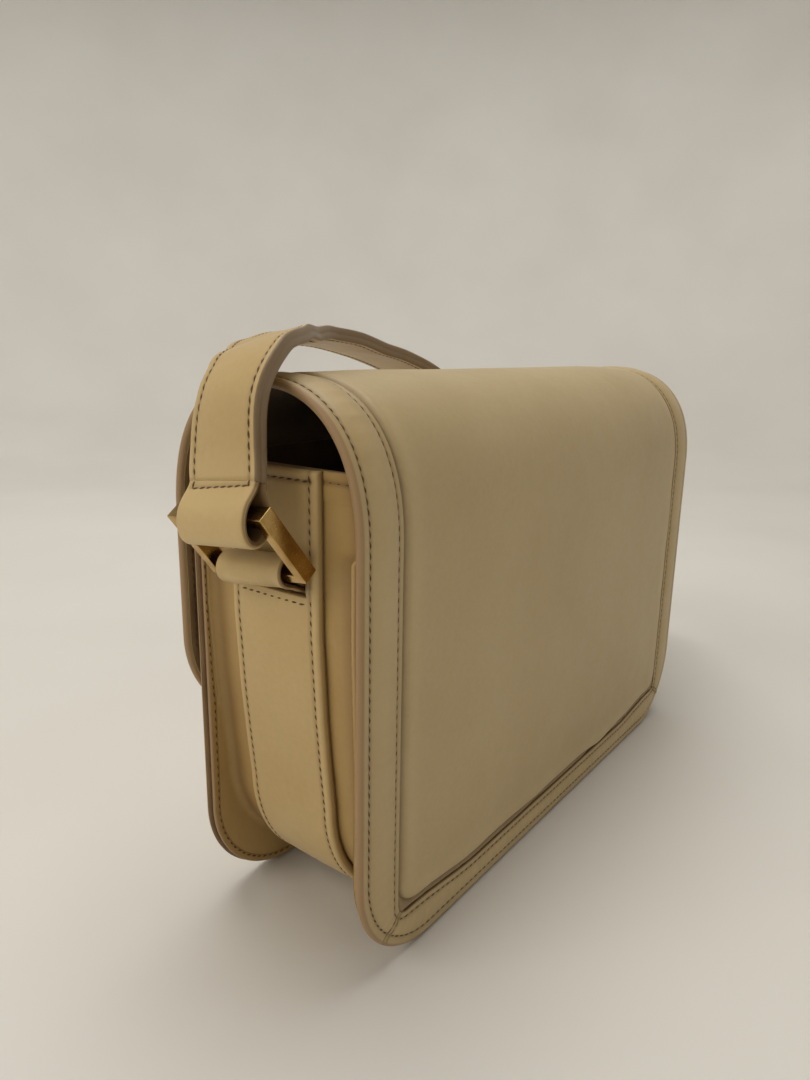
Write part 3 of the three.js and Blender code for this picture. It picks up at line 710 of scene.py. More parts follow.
def border(name, pairs, node):
    """A border strip with a painted rim. Returns its rows of stitches: two along it and one at each mitre."""
    outer, inner = pairs
    width = np.linalg.norm(inner - outer, axis=1)
    ways = (inner - outer) / width[:, None]
    run = run_along(outer)
    rim = np.linspace(-math.pi / 2, math.pi / 2, 9)[:-1]
    rings, shades_and_highlights, paints = [], [], []
    for i, wide in enumerate(width):
        squeeze = min(1.0, wide / BORDER_NARROW)
        start, stop = RIM + (BORDER_NEAR[-1] - RIM) * squeeze, wide - BORDER_FAR[0] * squeeze
        columns = np.array([*[RIM + (v - RIM) * squeeze for v in BORDER_NEAR],
                            *[start + (stop - start) * share for share in BORDER_MIDDLE],
                            *[wide - v * squeeze for v in BORDER_FAR]])
        wave = 0.1 * math.sin(run[i] * 0.9) * math.sin(run[i] * 0.31)
        wave = wave * np.sin(math.pi * np.clip((columns - 3) / (wide - 4), 0, 1))
        mitre = min(run[i], run[-1] - run[i])
        top = (border_height(columns, wide - columns, run[i]) + wave) * (0.45 + 0.55 * smooth(mitre, 0, 4))
        top = top + 0.3 * bell(mitre - 0.2, 0.5) - 0.35 * bell(mitre - MITRE_ROW, 0.45)
        across = np.array([*[RIM - RIM * math.cos(a) for a in rim], *columns, wide, RIM + 0.6, RIM + 0.4])
        heights = np.array([*[-RIM + RIM * math.sin(a) for a in rim], *top,
                            -BORDER_SHEET, -BORDER_SHEET, -2 * RIM + 0.1])
        spots = outer[i] + across[:, None] * ways[i]
        rings.append(on_sheet(spots[:, 1], spots[:, 0], heights)[0])
        inside = wide - across
        # Painted shade in the stitch grooves, at the mitre's stitches and seam and under the inner edge, and
        # a painted highlight along the puffed middle.
        shade_and_highlight = -0.4 * bell(across - OUTER_ROW, 0.6) - 0.4 * bell(inside - INNER_ROW, 0.6)
        shade_and_highlight -= 0.45 * bell(mitre - MITRE_ROW, 0.4) + 0.6 * bell(mitre, 0.15) + 0.85 * bell(inside, 0.3)
        shades_and_highlights.append(shade_and_highlight + 0.3 * bell(across - wide / 2, wide / 4))
        paints.append(np.where(across < 1.2, 1.0, 0.0) * (heights < -0.05))
    swept(name, rings, border_leather, [node], shades_and_highlights, paints)
    inset = len(MITRE_SHARES) - 5
    rows = []
    for offset in (np.full(len(outer), OUTER_ROW), width - INNER_ROW):
        spots = (outer + ways * offset[:, None])[inset:-inset]
        rows.append(on_sheet(spots[:, 1], spots[:, 0], -0.22))
    hanging = outer[:, 1] > TOTAL * 0.55
    if hanging.sum() > 2 and not hanging.all():
        spots = (outer + ways * OUTER_ROW)[hanging]
        line, up = on_sheet(spots[:, 1], spots[:, 0], -(BORDER_SHEET + SEAT + PANEL_SHEET) - 0.05)
        rows.append((line, -up))
    for i in (inset, len(outer) - 1 - inset):
        offset = np.linspace(OUTER_ROW / width[i], 1 - INNER_ROW / width[i], 8) * width[i]
        spots = outer[i] + ways[i] * offset[:, None]
        height = border_height(offset, width[i] - offset, 0.0) * 0.55 - 0.2
        rows.append(on_sheet(spots[:, 1], spots[:, 0], height))
    return rows


# Front panel
def front_panel():
    """The flat panel under the flap, rounded over at its rim. Returns its row of stitches."""
    rim = FRONT_SHEET / 2
    levels = joined(FRONT_MARKS, spaced(6, CORNER_RADIUS, 1.5), spaced(CORNER_RADIUS, FRONT_HEIGHT - 6, 4),
                    [FRONT_HEIGHT - v for v in FRONT_MARKS[::-1]])
    drawn_in = lambda radius, level: radius - math.sqrt(max(radius ** 2 - max(radius - level, 0) ** 2, 0))
    rows_x = []
    for z in levels:
        edge = HALF - drawn_in(CORNER_RADIUS, z) - drawn_in(FRONT_TOP_RADIUS, FRONT_HEIGHT - z)
        rows_x.append([*[-edge + v for v in FRONT_MARKS], *(edge - 7) * np.linspace(-1, 1, 41)[1:-1],
                       *[edge - v for v in FRONT_MARKS[::-1]]])
    x = np.array(rows_x)
    z = np.broadcast_to(np.array(levels)[:, None], x.shape)
    d = front_inside(x, z)
    thick = rim * np.sqrt(np.clip(1 - (1 - np.clip(d / rim, 0, 1)) ** 2, 0, 1))
    groove = 0.3 * bell(d - FRONT_ROW, 0.6)
    middle = FRONT_FACE + rim
    swell = 0.25 * ripple(x, z, 50, 1.7) * smooth(d, 4, 30)
    upper = np.stack([x, middle - thick + groove - swell, z], -1)
    lower = np.stack([x, middle + thick, z], -1)
    paint = np.where(d < 0.9, 1.0, 0.0)
    # Painted shade in the groove of the row of stitches.
    shade_and_highlight = -0.5 * bell(d - FRONT_ROW, 0.7)
    faces, under = sheet_faces(*x.shape)
    make_piece("front", np.concatenate([upper.reshape(-1, 3), lower.reshape(-1, 3)]), faces,
               [panel_leather, lining], ["front_panel"], looks=under,
               shade_and_highlight=np.concatenate([shade_and_highlight.ravel()] * 2), paint=np.concatenate([paint.ravel()] * 2))
    radius = CORNER_RADIUS - FRONT_ROW
    right = [(HALF - FRONT_ROW, z) for z in spaced(FRONT_HEIGHT - 3, CORNER_RADIUS, 2)]
    turn = [(HALF - CORNER_RADIUS + radius * math.cos(a), CORNER_RADIUS - radius * math.sin(a))
            for a in np.linspace(0, math.pi / 2, 24)]
    bottom = [(v, FRONT_ROW) for v in spaced(HALF - CORNER_RADIUS, 0, 2)[1:]]
    path = np.array(right + turn[1:] + bottom)
    path = np.concatenate([path, (path * (-1, 1))[::-1][1:]])
    line = np.stack([path[:, 0], np.full(len(path), FRONT_FACE + 0.12), path[:, 1]], -1)
    return line, np.tile((0.0, -1.0, 0.0), (len(line), 1))


def front_inside(x, z):
    """How far a point lies inside the front panel's outline."""
    side = HALF - np.abs(x)
    low = np.where((side < CORNER_RADIUS) & (z < CORNER_RADIUS),
                   CORNER_RADIUS - np.hypot(CORNER_RADIUS - side, CORNER_RADIUS - z), np.minimum(side, z))
    up = FRONT_HEIGHT - z
    r = FRONT_TOP_RADIUS
    high = np.where((side < r) & (up < r), r - np.hypot(r - side, r - up), np.minimum(side, up))
    return np.clip(np.minimum(low, high), 0, None)


FRONT_FACE = -BACK_FACE
GUSSET_FRONT = FRONT_FACE + FRONT_SHEET + SEAT
GUSSET_BACK = BACK_FACE - BORDER_SHEET - SEAT - PANEL_SHEET - SEAT
GUSSET_MIDDLE = (GUSSET_FRONT + GUSSET_BACK) / 2


# Gusset
def outline_distance(x, z, ox, oz):
    """How far the panels' outline lies from a point of the web, along the web's outward direction."""
    side = (HALF - abs(x)) / abs(ox) if abs(ox) > 1e-9 else math.inf
    down = z / -oz if oz < -1e-9 else math.inf
    flat = min(side, down)
    hit_x, hit_z = abs(x) + abs(ox) * flat, z + oz * flat
    cx = HALF - CORNER_RADIUS
    if hit_x <= cx or hit_z >= CORNER_RADIUS:
        return flat
    dx, dz = abs(x) - cx, z - CORNER_RADIUS
    lead = dx * abs(ox) + dz * oz
    return -lead + math.sqrt(lead * lead - dx * dx - dz * dz + CORNER_RADIUS ** 2)


def web_stations(extra=()):
    """Down the right side of the web, round its corner and along the bottom to the middle, then mirrored."""
    foot = RECESS_BOTTOM + WEB_RADIUS
    drop = FRONT_HEIGHT - foot
    downs, grown = zip(*SIDE_RECESS)
    levels = np.unique([*[FRONT_HEIGHT - v for v in HEM_MARKS], *spaced(foot, FRONT_HEIGHT - 5, 1.2),
                        *extra])[::-1]
    stations = []
    for z in levels:
        share = np.interp((FRONT_HEIGHT - z) / drop, downs, grown)
        stations.append((HALF - RECESS_TOP - (RECESS_SIDE - RECESS_TOP) * share, z, 1.0, 0.0))
    centre = HALF - RECESS_SIDE - WEB_RADIUS
    for angle in np.linspace(0, math.pi / 2, 54)[1:]:
        c, s = math.cos(angle), math.sin(angle)
        stations.append((centre + WEB_RADIUS * c, foot - WEB_RADIUS * s, c, -s))
    for x in spaced(centre, 0, 1.6)[1:]:
        stations.append((x, RECESS_BOTTOM, 0.0, -1.0))
    right = np.array(stations)
    left = (right * (-1, 1, -1, 1))[::-1][1:]
    return np.concatenate([right, left])


def back_lean(z):
    """How far the back's inner face leans in at a height."""
    depth = BORDER_SHEET + SEAT + PANEL_SHEET + SEAT
    half = len(PROFILE[0]) // 2
    y = PROFILE[1][:half] - depth * PROFILE[3][:half]
    height = PROFILE[2][:half] - depth * PROFILE[4][:half]
    return GUSSET_BACK - np.interp(z, height, y)


def gusset():
    """The U-shaped wall: a web, a flange out to each panel's edge and hems. Returns its rows of stitches."""
    stations = web_stations()
    run = run_along(stations[:, :2])
    bend = np.linspace(0, math.pi / 2, 6)
    face = GUSSET_FRONT + GUSSET_SHEET
    rings, shades_and_highlights, paints, front_row = [], [], [], []
    for i, (x, z, ox, oz) in enumerate(stations):
        recess = outline_distance(x, z, ox, oz)
        top = FRONT_HEIGHT - z
        hem = 0.55 * (1 - smooth(top, 7.2, 8.4)) - 0.4 * bell(top - HEM_ROW, 0.7) if oz == 0 else 0.0
        hem -= 0.5 * (1 - np.clip(top / 0.9, 0, 1)) ** 2 if top < 0.9 else 0.0
        over = lambda half: half[::-1] * (-1, 1) + (2 * GUSSET_MIDDLE - back_lean(z), 0)
        squeeze = min(1, max(recess - WEB_BEND, 0.8) / 4.0)
        wave = 0.05 * math.sin(run[i] * 1.7)
        half = [(face - 0.3 * bell(v - FLANGE_ROW, 0.5) - (0.5 if v == 0 else 0.0) + wave,
                 recess - FLANGE_SHY - v * squeeze) for v in FLANGE_MARKS]
        half += [(face + WEB_BEND - WEB_BEND * math.cos(a), WEB_BEND - WEB_BEND * math.sin(a)) for a in bend]
        half = np.array([*half, *[(face + WEB_BEND + v, 0.0) for v in WEB_MARKS]])
        centre = np.array([(v, 0.0) for v in np.linspace(-14, 14, 9)]) + (GUSSET_MIDDLE, 0)
        back = over(half)
        back[-3:, 1] -= BACK_SHY * squeeze
        outside = np.concatenate([half, centre, back])
        count = len(half)
        blend = np.zeros(len(outside))
        blend[count - 6:len(outside) - count + 6] = 1.0
        soft = ripple(outside[:, 0] + 40 * np.sign(x), run[i], 24, 2.2) * 0.3
        outside[:, 1] += (hem + soft * smooth(top, 0, 12)) * blend
        turn = WEB_BEND + GUSSET_SHEET
        low = [(GUSSET_FRONT, recess - FLANGE_SHY - 0.3), (GUSSET_FRONT, recess * 0.6)]
        low += [(face + WEB_BEND - turn * math.cos(a), WEB_BEND - turn * math.sin(a)) for a in bend[1::2]]
        low = np.array([*low, (GUSSET_MIDDLE - 12, -GUSSET_SHEET)])
        under = over(low)
        under[-1, 1] -= BACK_SHY * squeeze
        ring = np.concatenate([outside, np.concatenate([low, under])[::-1]])
        rings.append(np.stack([x + ox * ring[:, 1], ring[:, 0], z + oz * ring[:, 1]], -1))
        depth = np.concatenate([np.linspace(0, 1, count), np.ones(9), np.linspace(1, 0, count)])
        # Painted shade where the flange bends into the web beside the band, along the hem's row, in the
        # groove of the flange's row of stitches and over the inner face.
        shade_and_highlight = -0.55 * bell(depth - 0.75, 0.12) - 0.45 * bell(top - HEM_ROW, 0.8) * blend * (oz == 0)
        shade_and_highlight = shade_and_highlight - 0.5 * bell(depth - 5 / (count - 1), 0.035)
        shades_and_highlights.append(np.concatenate([shade_and_highlight, np.full(2 * len(low), -0.4)]))
        paint = np.full(len(ring), 0.6 if top < 0.2 else 0.0)
        if top >= 0.2:
            paint[[0, 1, -1]] = 1
        paints.append(paint)
        level = recess - FLANGE_ROW * squeeze
        front_row.append(((x + ox * level, face - 0.12, z + oz * level), (0, 1, 0)))
    swept("gusset_wall", rings, gusset_leather, ["gusset"], shades_and_highlights, paints)
    rows = [row_of(front_row[4:-4])]
    z = FRONT_HEIGHT - HEM_ROW
    for side in (1, -1):
        for low_y, high_y in ((GUSSET_FRONT + HEM_INSET, GUSSET_MIDDLE - BAND_WIDTH / 2 - 0.6),
                              (GUSSET_MIDDLE + BAND_WIDTH / 2 + 0.6, GUSSET_BACK - HEM_INSET - back_lean(z))):
            rows.append(level_row(side, side * (HALF - RECESS_TOP + 0.02), spaced(low_y, high_y, 1.5), z))
    return rows


# The band on the gusset
SLIT_HEIGHT = 2 * CHAPE_SHEET + 3 * SEAT
BAND_OUTSIDE = HALF - RECESS_TOP + SEAT + BAND_SHEET


def gusset_band():
    """The wide band sewn on the gusset, with a slit for each chape. Returns its rows of stitches."""
    slit = (SLIT_Z - SLIT_HEIGHT / 2 - SLIT_DROP_OPEN, SLIT_Z + SLIT_HEIGHT / 2)
    stations = web_stations(slit)
    edge = BAND_WIDTH / 2
    mouth = CHAPE_WIDTH / 2 + SLIT_SIDE_GAP
    rim = BAND_SHEET / 2
    turn = np.linspace(0, math.pi / 2, 5)
    half = [*[edge - rim + rim * math.cos(a) for a in turn][:-1],
            *[edge - v for v in (rim, 2.1, 2.6, BAND_ROW, 3.4)], mouth, 11.5, 8.0, 4.0]
    lift = [*[rim * math.sin(a) for a in turn][:-1], *[rim] * 9]
    columns, lifts = both_halves(half, lift, rim)
    run = run_along(stations[:, :2])
    rings, shades_and_highlights, rows = [], [], ([], [])
    for i, (x, z, ox, oz) in enumerate(stations):
        base = SEAT + rim
        inward = edge - np.abs(columns)
        top = FRONT_HEIGHT - z
        pull = stitch_pull(run[i])
        height = base + lifts - 0.32 * bell(inward - BAND_ROW, 0.6) * pull + 0.22 * bell(inward - edge, 13)
        height = height + ripple(columns, run[i], 16, 6.1) * 0.16 * smooth(inward, 1, 5)
        near_slit = bell(z - SLIT_Z, 3.2) * (np.abs(columns) < mouth + 3) * (oz == 0)
        height = height + 0.35 * near_slit
        step = -0.4 * bell(top - HEM_ROW, 0.7) * (inward > 2) * (oz == 0)
        round_top = 0.9 * (1 - np.clip(top / 0.9, 0, 1)) ** 2 if top < 0.9 else 0.0
        height = height + step - round_top
        under = np.full(len(columns), SEAT) + np.where(np.abs(columns) > edge - 0.9, 0.5, 0.0)
        ys = np.concatenate([columns, columns[::-1]]) + GUSSET_MIDDLE
        hs = np.concatenate([height, under[::-1]])
        rings.append(np.stack([x + ox * hs, ys, z + oz * hs], -1))
        # A painted highlight where the rim rounds over, and painted shade in the stitch grooves, around the
        # slits, on the outer part of the rounded rim, along the hem's row and on the underside.
        shade_and_highlight = -0.4 * bell(inward - BAND_ROW, 0.6) + 0.25 * bell(inward - 1.3, 0.7) - 0.3 * near_slit
        shade_and_highlight = shade_and_highlight - 0.25 * (lifts < rim * 0.7) - 0.4 * bell(top - HEM_ROW, 0.8) * (inward > 2) * (oz == 0)
        shades_and_highlights.append(np.concatenate([shade_and_highlight, np.full(len(columns), -0.7)]))
        for row, way in zip(rows, (-1, 1)):
            h = base + rim - 0.16
            row.append(((x + ox * h, GUSSET_MIDDLE + way * (edge - BAND_ROW), z + oz * h), (ox, 0, oz)))
    count = len(columns)
    open_at = [i for i, s in enumerate(stations) if s[3] == 0 and slit[0] - 1e-6 <= s[1] <= slit[1] + 1e-6]
    slits = []
    for side in (1, -1):
        there = [i for i in open_at if stations[i, 0] * side > 0]
        slits.append((there[0], there[-1]))
    first = int(np.argmin(np.abs(columns + mouth)))
    faces = band_faces(len(stations), count, slits, first, count - 1 - first)
    make_piece("band", rings, faces, [strap_leather], ["gusset_band"], shade_and_highlight=shades_and_highlights)
    paths = [row_of(row[3:-3]) for row in rows]
    crossings = ((slit[0] - 2.2, mouth - 0.4, 0.22), (FRONT_HEIGHT - HEM_ROW, edge - BAND_ROW, -0.05))
    for side in (1, -1):
        for z, wide, lift in crossings:
            ys = spaced(-wide, wide, 1.5) + GUSSET_MIDDLE
            paths.append(level_row(side, side * (BAND_OUTSIDE + lift), ys, z))
    return paths


def band_faces(count, columns, slits, first, last):
    """The band's faces, with a walled opening through it at each slit."""
    ring = 2 * columns
    at = lambda i, k: i * ring + k % ring
    under = lambda k: ring - 1 - k
    wall = lambda i, k, j, m: (at(i, k), at(j, m), at(j, under(m)), at(i, under(k)))
    within = lambda k: first <= k < last or first <= under(k + 1) < last
    faces = tube_faces(count, ring, lambda i, k: within(k) and any(a <= i < b for a, b in slits))
    for a, b in slits:
        for i in range(a, b):
            faces += [wall(i, first, i + 1, first), wall(i + 1, last, i, last)]
        for k in range(first, last):
            faces += [wall(a, k + 1, a, k), wall(b, k, b, k + 1)]
    return faces


# Chapes
BAR_CORNER = math.hypot(RING_BAR, RING_DEPTH) / 2
BAR_REACH = BAR_CORNER + RING_SLACK
HELD_X = BAND_OUTSIDE + SEAT + BAR_REACH + CHAPE_SHEET
HELD_Z = SLIT_Z + CHAPE_RISE


def bezier(a, b, c, d, count):
    t = np.linspace(0, 1, count)[:, None]
    a, b, c, d = [np.asarray(p, float) for p in (a, b, c, d)]
    return (1 - t) ** 3 * a + 3 * (1 - t) ** 2 * t * b + 3 * (1 - t) * t * t * c + t ** 3 * d


def chape_path():
    """The middle of the chape's leather (x, z): out of the slit, round the bar and back into the slit."""
    ply = CHAPE_SHEET / 2
    mid = BAR_REACH + ply
    inside = HALF - RECESS_TOP + 2 * SEAT
    low, high = SLIT_Z - SEAT / 2 - ply, SLIT_Z + SEAT / 2 + ply
    slit_top = SLIT_Z + SLIT_HEIGHT / 2
    out, back = HELD_X + mid, HELD_X - mid
    parts = [np.array([(inside, low), (BAND_OUTSIDE - 0.8, low)])]
    parts.append(bezier((BAND_OUTSIDE, low), (BAND_OUTSIDE + 0.7 * (out - BAND_OUTSIDE), low),
                        (out, low + 0.3 * (HELD_Z - low)), (out, HELD_Z), 18))
    turn = np.linspace(0, math.pi, 26)[1:]
    parts.append(np.stack([HELD_X + mid * np.cos(turn), HELD_Z + mid * np.sin(turn)], -1))
    parts.append(np.array([(back, z) for z in spaced(HELD_Z, slit_top, 0.8)[1:]]))
    bend = np.linspace(0, -math.pi / 2, 6)[1:]
    swing = SEAT + ply
    parts.append(np.stack([BAND_OUTSIDE + swing * np.cos(bend), slit_top + swing * np.sin(bend)], -1))
    parts.append(np.array([(BAND_OUTSIDE - 0.8, high), (inside, high)]))
    return np.concatenate(parts)


def chape(name, side, roll, node):
    """A leather loop out of the slit and round the ring's bar, a little crumpled."""
    path = chape_path()
    ahead = unit(np.gradient(path, axis=0))
    normal = np.stack([ahead[:, 1], -ahead[:, 0]], -1)
    edge, ply = CHAPE_WIDTH / 2, CHAPE_SHEET / 2
    turn = np.linspace(0, math.pi / 2, 4)
    half = [*[edge - ply + ply * math.cos(a) for a in turn], 11.5, 9.5, 7.5, 5.5, 3.5, 1.8]
    lift = [*[ply * math.sin(a) for a in turn], *[ply] * 6]
    columns, lifts = both_halves(half, lift, ply)
    run = run_along(path)
    rings, shades_and_highlights = [], []
    lean = math.tan(math.radians(roll))
    for i, (px, pz) in enumerate(path):
        free = max(smooth(pz, SLIT_Z + CHAPE_SHEET, HELD_Z), smooth(px, BAND_OUTSIDE, HELD_X - SEAT))
        loose = smooth(px, BAND_OUTSIDE + 1, BAND_OUTSIDE + 5)
        crumple = ripple(columns, run[i] * 0.4, 9, 4.4 + side) * 0.55
        crumple = crumple + ripple(columns, run[i], 4.5, 1.3) * 0.2
        crumple = loose * crumple * smooth(edge - np.abs(columns), -1, 4)
        outward = np.concatenate([lifts + crumple, (-lifts + crumple)[::-1]])
        ys = np.concatenate([columns, columns[::-1]])
        x = px + normal[i, 0] * outward
        z = pz + normal[i, 1] * outward + ys * lean * free
        rings.append(np.stack([side * x, ys + GUSSET_MIDDLE, z], -1))
        # Painted highlight on the crumples' ridges, painted shade in their hollows, at the slit's mouth,
        # along the edges and over the inner face.
        shade = 0.3 * np.clip(crumple, 0, 1) - 0.35 * np.clip(-crumple, 0, 1)
        shade = shade - 0.7 * bell(px - BAND_OUTSIDE, 1.6) - 0.6 * (np.abs(columns) > edge - 0.4)
        shades_and_highlights.append(np.concatenate([shade, shade[::-1] - 0.5]))
    swept(name, rings, strap_leather, [node], shades_and_highlights)


# Rings
def ring_frame(side, tilt, roll):
    """A ring's place: its held bar, along its bars, up to the strap's bar, and its face."""
    tilt, roll = math.radians(tilt), math.radians(roll)
    held = np.array([side * HELD_X, GUSSET_MIDDLE, HELD_Z])
    across = np.array([0.0, math.cos(roll), math.sin(roll)])
    rise = np.cross((1.0, 0.0, 0.0), across)
    up = np.array([side, 0.0, 0.0]) * math.sin(tilt) + rise * math.cos(tilt)
    bar = held + up * (RING_HEIGHT - RING_BAR)
    return {"held": held, "across": across, "up": up, "face": np.cross(across, up), "rise": rise,
            "bar": bar, "end": bar + across * STRAP_SLIDE}


def ring(name, at, node):
    """A rectangular ring of flat bar, deeper than it is wide, its edges eased."""
    middle = (at["held"] + at["bar"]) / 2 + at["across"] * RING_SHIFT
    w, h, depth = RING_WIDTH / 2, RING_HEIGHT / 2, RING_DEPTH / 2
    section = ((0, -depth), (0, depth), (RING_BAR, depth), (RING_BAR, -depth))
    points = [middle + at["across"] * sx * (w - inset) + at["up"] * sy * (h - inset) + at["face"] * lift
              for sx, sy in ((1, 1), (-1, 1), (-1, -1), (1, -1)) for inset, lift in section]
    faces = []
    for r in range(4):
        for c in range(4):
            n, d = (r + 1) % 4, (c + 1) % 4
            faces.append((r * 4 + c, n * 4 + c, n * 4 + d, r * 4 + d))
    piece = make_piece(name, points, faces, [brass], [node])
    shape = bmesh.new()
    shape.from_mesh(piece.data)
    bmesh.ops.bevel(shape, geom=list(shape.edges), offset=0.3 / MM, segments=3, profile=0.6, affect="EDGES",
                    clamp_overlap=True)
    bmesh.ops.recalc_face_normals(shape, faces=list(shape.faces))
    shape.to_mesh(piece.data)
    shape.free()
    piece.data.polygons.foreach_set("use_smooth", np.ones(len(piece.data.polygons), bool))
    piece.data.update()
    weighted = piece.modifiers.new("normals", "WEIGHTED_NORMAL")
    weighted.keep_sharp = True


# Strap
def strap_line(right, left):
    """The strap's run, middle, width and face directions, and the direction of its right neck."""
    lean = math.radians(NECK_LEAN)
    right_up = turned(right["rise"], right["across"], -lean)
    stand_off = -FLAP_FACE + STRAP_WIDTH / 2 + 4 * SEAT
    middle = [(out * HALF, GUSSET_MIDDLE - fore * stand_off, max(up * BAG_TOP, STRAP_SHEET / 2))
              for out, fore, up, _ in STRAP_ROUTE]
    knots = np.array([right["end"] + right_up * STRAP_NECK, *middle, left["end"] + left["up"] * STRAP_NECK])
    padded = np.concatenate([[2 * knots[0] - knots[1]], knots, [2 * knots[-1] - knots[-2]]])
    points, marks = [], []
    for i in range(1, len(knots)):
        p0, p1, p2, p3 = padded[i - 1:i + 3]
        d0, d1, d2 = [np.linalg.norm(b - a) ** 0.5 for a, b in ((p0, p1), (p1, p2), (p2, p3))]
        m1 = ((p1 - p0) / d0 - (p2 - p0) / (d0 + d1) + (p2 - p1) / d1) * d1
        m2 = ((p2 - p1) / d1 - (p3 - p1) / (d1 + d2) + (p3 - p2) / d2) * d1
        t = np.linspace(0, 1, 40, endpoint=False)[:, None]
        spot = (2 * t ** 3 - 3 * t ** 2 + 1) * p1 + (t ** 3 - 2 * t ** 2 + t) * m1
        spot = spot + (-2 * t ** 3 + 3 * t ** 2) * p2 + (t ** 3 - t ** 2) * m2
        points.append(spot)
        marks.append(i - 1 + t[:, 0])
    points = np.concatenate([*points, knots[-1:]])
    marks = np.concatenate([*marks, [len(knots) - 1.0]])
    run = run_along(points)
    even = spaced(0, run[-1], STRAP_STEP)
    line = at_run(even, run, points).T
    banks = [row[3] for row in STRAP_ROUTE]
    bank = np.interp(np.interp(even, run, marks) - 1, np.arange(len(banks)), banks)
    ahead = unit(np.gradient(line, axis=0))
    for end, way in ((0, right_up), (-1, -left["up"])):
        for k in range(NECK_STATIONS):
            share = 1 - k / NECK_STATIONS
            i = k if end == 0 else -1 - k
            ahead[i] = unit(ahead[i] * (1 - share) + way * share)
    across = unit(np.array((0.0, 1.0, 0.0)) - ahead * ahead[:, 1:2])
    across = np.array([turned(a, t, math.radians(b)) for a, t, b in zip(across, ahead, bank)])
    for end, held in ((0, right["across"]), (-1, left["across"])):
        for k in range(TWIST_STATIONS):
            i = k if end == 0 else -1 - k
            share = 1 - float(smooth(k, 0, TWIST_STATIONS))
            mixed = across[i] * (1 - share) + held * share
            across[i] = unit(mixed - ahead[i] * float(np.dot(mixed, ahead[i])))
    normal = np.cross(ahead, across)
    return even, line, across, normal, right_up


def strap_section():
    """Half the strap's section: the painted edge with its parting line, then the face up to the middle."""
    edge, thick, rim = STRAP_WIDTH / 2, STRAP_SHEET / 2, 0.85
    points = [(edge - 0.22, 0.0), (edge - 0.06, 0.35), (edge, 0.8)]
    points += [(edge - rim + rim * math.cos(a), thick - rim + rim * math.sin(a))
               for a in np.linspace(0.1, math.pi / 2, 6)]
    points += [(edge - v, thick) for v in (1.4, 1.9, 2.25, STRAP_ROW, 2.95, 3.4, 4.5, 6.5, 9.0, 11.5)]
    return np.array(points)


def strap(line):
    """The two sewn plies of the strap. Returns its rows of stitches, near each edge on both faces."""
    run, middle, across, normal, _ = line
    half = strap_section()
    top = np.concatenate([half * (-1, 1), [(0.0, STRAP_SHEET / 2)], half[::-1]])
    section = np.concatenate([top[1:-1], [top[-1]], (top[1:-1] * (1, -1))[::-1], [top[0]]])
    edge = STRAP_WIDTH / 2
    inward = edge - np.abs(section[:, 0])
    face = np.abs(section[:, 1]) > STRAP_SHEET / 2 - 0.05
    sign = np.sign(section[:, 1])
    paint = np.where(face, 0.0, 1.0) * (inward < 0.75)
    # Painted shade in the groove of the parting line between the two plies.
    parting_line_shade = -0.9 * bell(section[:, 1], 0.3) * (inward < 0.5)
    rings, shades_and_highlights, paints = [], [], []
    for i in range(len(run)):
        pull = stitch_pull(run[i])
        groove = 0.3 * bell(inward - STRAP_ROW, 0.6) * pull * face
        end = min(run[i], run[-1] - run[i])
        puff = (0.22 * smooth(inward, 3, 9) + 0.12 * ripple(section[:, 0], run[i], 15, 9.0)) * face
        lift = section[:, 1] + sign * (puff * smooth(end, 0, 14) - groove)
        rings.append(middle[i] + across[i] * section[:, :1] + normal[i] * lift[:, None])
        # A painted highlight where the edge rounds onto the face, and painted shade in the stitch grooves and
        # the parting line.
        shades_and_highlights.append((0.2 * bell(inward - 1.1, 0.5) - 0.4 * bell(inward - STRAP_ROW, 0.6)) * face + parting_line_shade)
        paints.append(paint)
    swept("shoulder_strap", rings, strap_leather, ["strap"], shades_and_highlights, paints)
    rows = []
    for way in (1, -1):
        for hand in (1, -1):
            offset = hand * (edge - STRAP_ROW)
            path = middle[1:-1] + across[1:-1] * offset + normal[1:-1] * way * (STRAP_SHEET / 2 - 0.14)
            rows.append((path, normal[1:-1] * way))
    return rows


